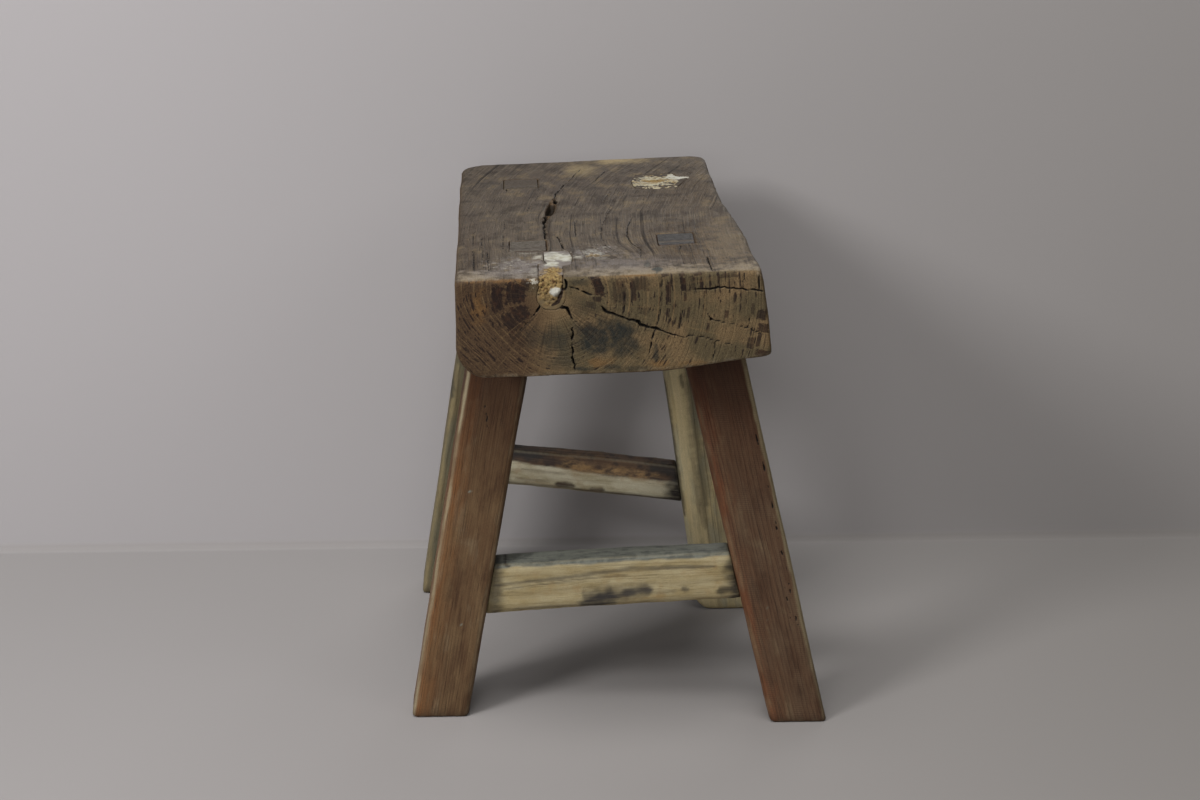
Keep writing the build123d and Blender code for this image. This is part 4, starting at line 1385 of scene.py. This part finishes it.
def makeFillerPaste(name):
    tones = fillerTones
    material, place = startMaterial(titled(name) + "Paste")
    rotten, pit = value("rotten"), value("pit")
    grains = cloud(place, 0.5, 4.0, 0.7)
    patches = cloud(place, 0.13, 3.0, 0.6)
    uneven = spread(cloud(place, 0.26, 2.0, 0.6), 0.2, 0.8, 0.15, 0.85)
    crumbly = blend(spread(grains, 0.42, 0.66), tones["ochre"], tones["light"])
    crumbly = blend(spread(grains, 0.48, 0.36, 0.0, 0.85), crumbly, tones["brown"])
    if name == "front_edge_filler":
        smooth = blend(spread(uneven, 0.2, 0.75), tones["white"], tones["cream"])
        smooth = blend(spread(patches, 0.5, 0.66, 0.0, 0.7), smooth, tones["grey"])
        share = spread(plus(rotten, times(minus(uneven, 0.5), 0.5)), 0.25, 0.75)
        lump = (onEnd([fillerLooks[name]["lump"]], seat["front"])[0], (4.4, 5.0, 3.2), 1.0)
        white = patchMask(place, spread(grains, 0.0, 1.0, 0.35, 0.65), (lump,), 0.3)
        calmer = spread(uneven, 0.0, 1.0, 0.36, 0.64)
        kept = patchMask(place, calmer, (
            topSpot(57.5, 48, 9, 13), topSpot(65.5, 43, 8, 10), topSpot(57.5, 31, 5.5, 10),
            topSpot(57.5, 14, 7.6, 13), topSpot(56.5, 3, 11, 9), endSpot(55.8, 5, 10.4, 17.6),
        ), 0.6)
    elif name == "rear_tenon_filler":
        smooth = blend(spread(patches, 0.4, 0.6), tones["pink"], tones["cream"])
        bands = cloud(scaled(place, (0.05, 0.3, 0.0)), 1.0, 3.0, 0.6)
        bare = topPatches(place, uneven, 0.8, (129, 228, 14, 7))
        share = spread(plus(bands, times(bare, 0.16)), 0.5, 0.6)
        white = topPatches(place, uneven, 0.5, (146, 236, 9, 8, 0.9))
        kept = topPatches(place, uneven, 0.2, (128, 226, 17, 15), (146, 236, 11, 8))
    else:
        smooth = tones["grey"]
        share = topPatches(place, uneven, 0.6, (83, 46, 6, 5, 0.9), (90, 44, 5, 3, 0.7))
        white = spread(grains, 0.56, 0.68)
        kept = times(topPatches(place, uneven, 0.5, (84, 50, 12, 13)), spread(uneven, 0.3, 0.6, 0.35, 1.0))
    colour = blend(share, smooth, crumbly)
    colour = blend(white, colour, tones["white"])
    # the wood beside the front filler takes the top's haze and painted sheen
    wood = blend(uneven, seat["topGrey"], seat["hazeAndSheen" if name == "front_edge_filler" else "topDark"])
    endWood = blend(uneven, seat["endTan"], seat["endOlive"])
    wood = blend(value("onEnd"), wood, endWood)
    colour = blend(kept, wood, colour)
    # painted shade in the pits and the crack
    colour = blend(spread(pit, 0.3, 0.8), colour, tones["dark"])
    rough = spread(grains, 0.3, 0.7, 0.75, 0.9)
    height = times(grains, spread(rotten, 0.1, 0.45, 0.15, 1.0))
    return finishMaterial(
        material, colour, rough, height, strength=0.5, distance=0.5, specular=0.25,
    )


for fillerName in fillerLooks:
    filler = makeFiller(fillerName)
    dress(filler, makeFillerPaste(fillerName))
    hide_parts(fillerName)
    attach(filler, "root")
    print(fillerName + ":", len(filler.data.polygons), "faces")


# Room, light and camera

# The backdrop's sizes are in millimetres, and the places of the lamps and the camera in metres
room = {
    "wall": 200.0,          # the backdrop stands this far behind the middle of the stool
    "bend": 7.0,
    "half": 3200.0,
    "wallHeight": 3000.0,
    "colour": (170, 166, 166),
    "skyLight": 0.05,
    "skyColour": (0.98, 0.97, 1.0, 1),
    "lampAim": (0, 0, 0.15),
    "sunk": 0.4,            # the floor behind the wall lies this much lower
    "wallLeft": (171, 167, 168),
    "wallRight": (148, 144, 142),
    "bendShade": (223, 222, 219),
    "floorShade": (232, 231, 228),
    "lens": 81.0,
    "sensor": 36.0,
    "cameraPlace": (-0.06681, -1.67619, 0.73185),
    "cameraAim": (0.0331, 0.9490, -0.3134),
    "lamps": {              # place, size, power
        "keyLeft": ((-1.5, -1.35, 1.35), 0.55, 30.0),
        "keyRight": ((1.7, -1.5, 1.7), 1.2, 6.0),
        "front": ((-0.5, -3.2, 1.3), 1.6, 22.0),
        "overhead": ((-0.3, -0.7, 2.4), 1.3, 40.0),
        "behind": ((0.9, 2.4, 1.7), 1.4, 12.0),
    },
}


def makeBackdrop():
    # floor in front, a tight bend, and a wall
    run = [(-room["half"], 0.0), (-600.0, 0.0), (0.0, 0.0)]
    for step in range(13):
        turn = math.radians(90 * step / 12)
        back, up = 1 - math.sin(turn), 1 - math.cos(turn)
        run.append((room["wall"] - room["bend"] * back, room["bend"] * up))
    run.append((room["wall"], room["wallHeight"]))
    mesh = bpy.data.meshes.new("backdropMesh")
    verts = [(side * room["half"] / metre, y / metre, z / metre) for y, z in run for side in (-1, 1)]
    faces = [(2 * i, 2 * i + 1, 2 * i + 3, 2 * i + 2) for i in range(len(run) - 1)]
    mesh.from_pydata(verts, [], faces)
    mesh.polygons.foreach_set("use_smooth", [True] * len(faces))
    backdrop = bpy.data.objects.new("backdrop", mesh)
    scene.collection.objects.link(backdrop)
    return backdrop


def makeFloorBehind():
    mesh = bpy.data.meshes.new("floorBehindMesh")
    near, half, low = (room["wall"] - room["bend"]) / metre, room["half"] / metre, -room["sunk"] / metre
    corners = [(-half, near, low), (half, near, low), (half, half, low), (-half, half, low)]
    mesh.from_pydata(corners, [], [(0, 1, 2, 3)])
    floor = bpy.data.objects.new("floorBehind", mesh)
    scene.collection.objects.link(floor)
    return floor


def makePaper():
    # the backdrop shows from its front only, and light from behind passes it
    material = bpy.data.materials.new("paper")
    material.use_nodes = True
    tree = current["tree"] = material.node_tree
    shader = tree.nodes["Principled BSDF"]
    place = addNode("TexCoord").outputs["Object"]
    part = parts(place)
    shade = plus(spread(part[0], -0.45, 0.55), times(cloud(place, 2.2, 3.0, 0.5), 0.12))
    colour = blend(shade, room["wallLeft"], room["wallRight"])
    low = blend(spread(part[2], 0.0012, 0.0), room["bendShade"], room["floorShade"])
    link(blend(spread(part[2], 0.0075, 0.003), colour, low, "MULTIPLY"), shader.inputs["Base Color"])
    shader.inputs["Roughness"].default_value = 0.9
    shader.inputs["Specular IOR Level"].default_value = 0.1
    clear = addNode("BsdfTransparent").outputs[0]
    ahead = minus(1.0, addNode("NewGeometry").outputs["Backfacing"])
    seen = times(addNode("LightPath").outputs["Is Camera Ray"], ahead)
    shown = calc("MAXIMUM", seen, calc("LESS_THAN", part[2], 0.0002))
    mixed = addNode("MixShader", {0: shown, 1: clear, 2: shader.outputs[0]}).outputs[0]
    link(mixed, tree.nodes["Material Output"].inputs["Surface"])
    return material


backdrop, floorBehind = makeBackdrop(), makeFloorBehind()
paper = makePaper()
backdrop.data.materials.append(paper)
floorBehind.data.materials.append(paper)

world = scene.world = bpy.data.worlds.new("studio")
world.use_nodes = True
sky = current["tree"] = world.node_tree
sky.nodes["Background"].inputs["Color"].default_value = room["skyColour"]
sky.nodes["Background"].inputs["Strength"].default_value = room["skyLight"]
skyShaders = {
    0: addNode("LightPath").outputs["Is Camera Ray"],
    1: sky.nodes["Background"].outputs[0],
    2: addNode("Background", {"Color": tone(room["colour"]), "Strength": 1.0}).outputs[0],
}
link(addNode("MixShader", skyShaders).outputs[0], sky.nodes["World Output"].inputs["Surface"])

for lampName, (lampPlace, lampSize, lampPower) in room["lamps"].items():
    lamp = bpy.data.lights.new(lampName, "AREA")
    lamp.shape = "SQUARE"
    lamp.size = lampSize
    lamp.energy = lampPower
    softbox = bpy.data.objects.new(lampName, lamp)
    softbox.location = lampPlace
    towards = Vector(room["lampAim"]) - softbox.location
    softbox.rotation_euler = towards.to_track_quat("-Z", "Y").to_euler()
    scene.collection.objects.link(softbox)

lens = bpy.data.cameras.new("photoCamera")
lens.lens = room["lens"]
lens.sensor_width = room["sensor"]
camera = bpy.data.objects.new("photoCamera", lens)
camera.location = room["cameraPlace"]
camera.rotation_euler = Vector(room["cameraAim"]).to_track_quat("-Z", "Y").to_euler()
scene.collection.objects.link(camera)
scene.camera = camera
scene.view_settings.view_transform = "Standard"
print("room, light and camera made")
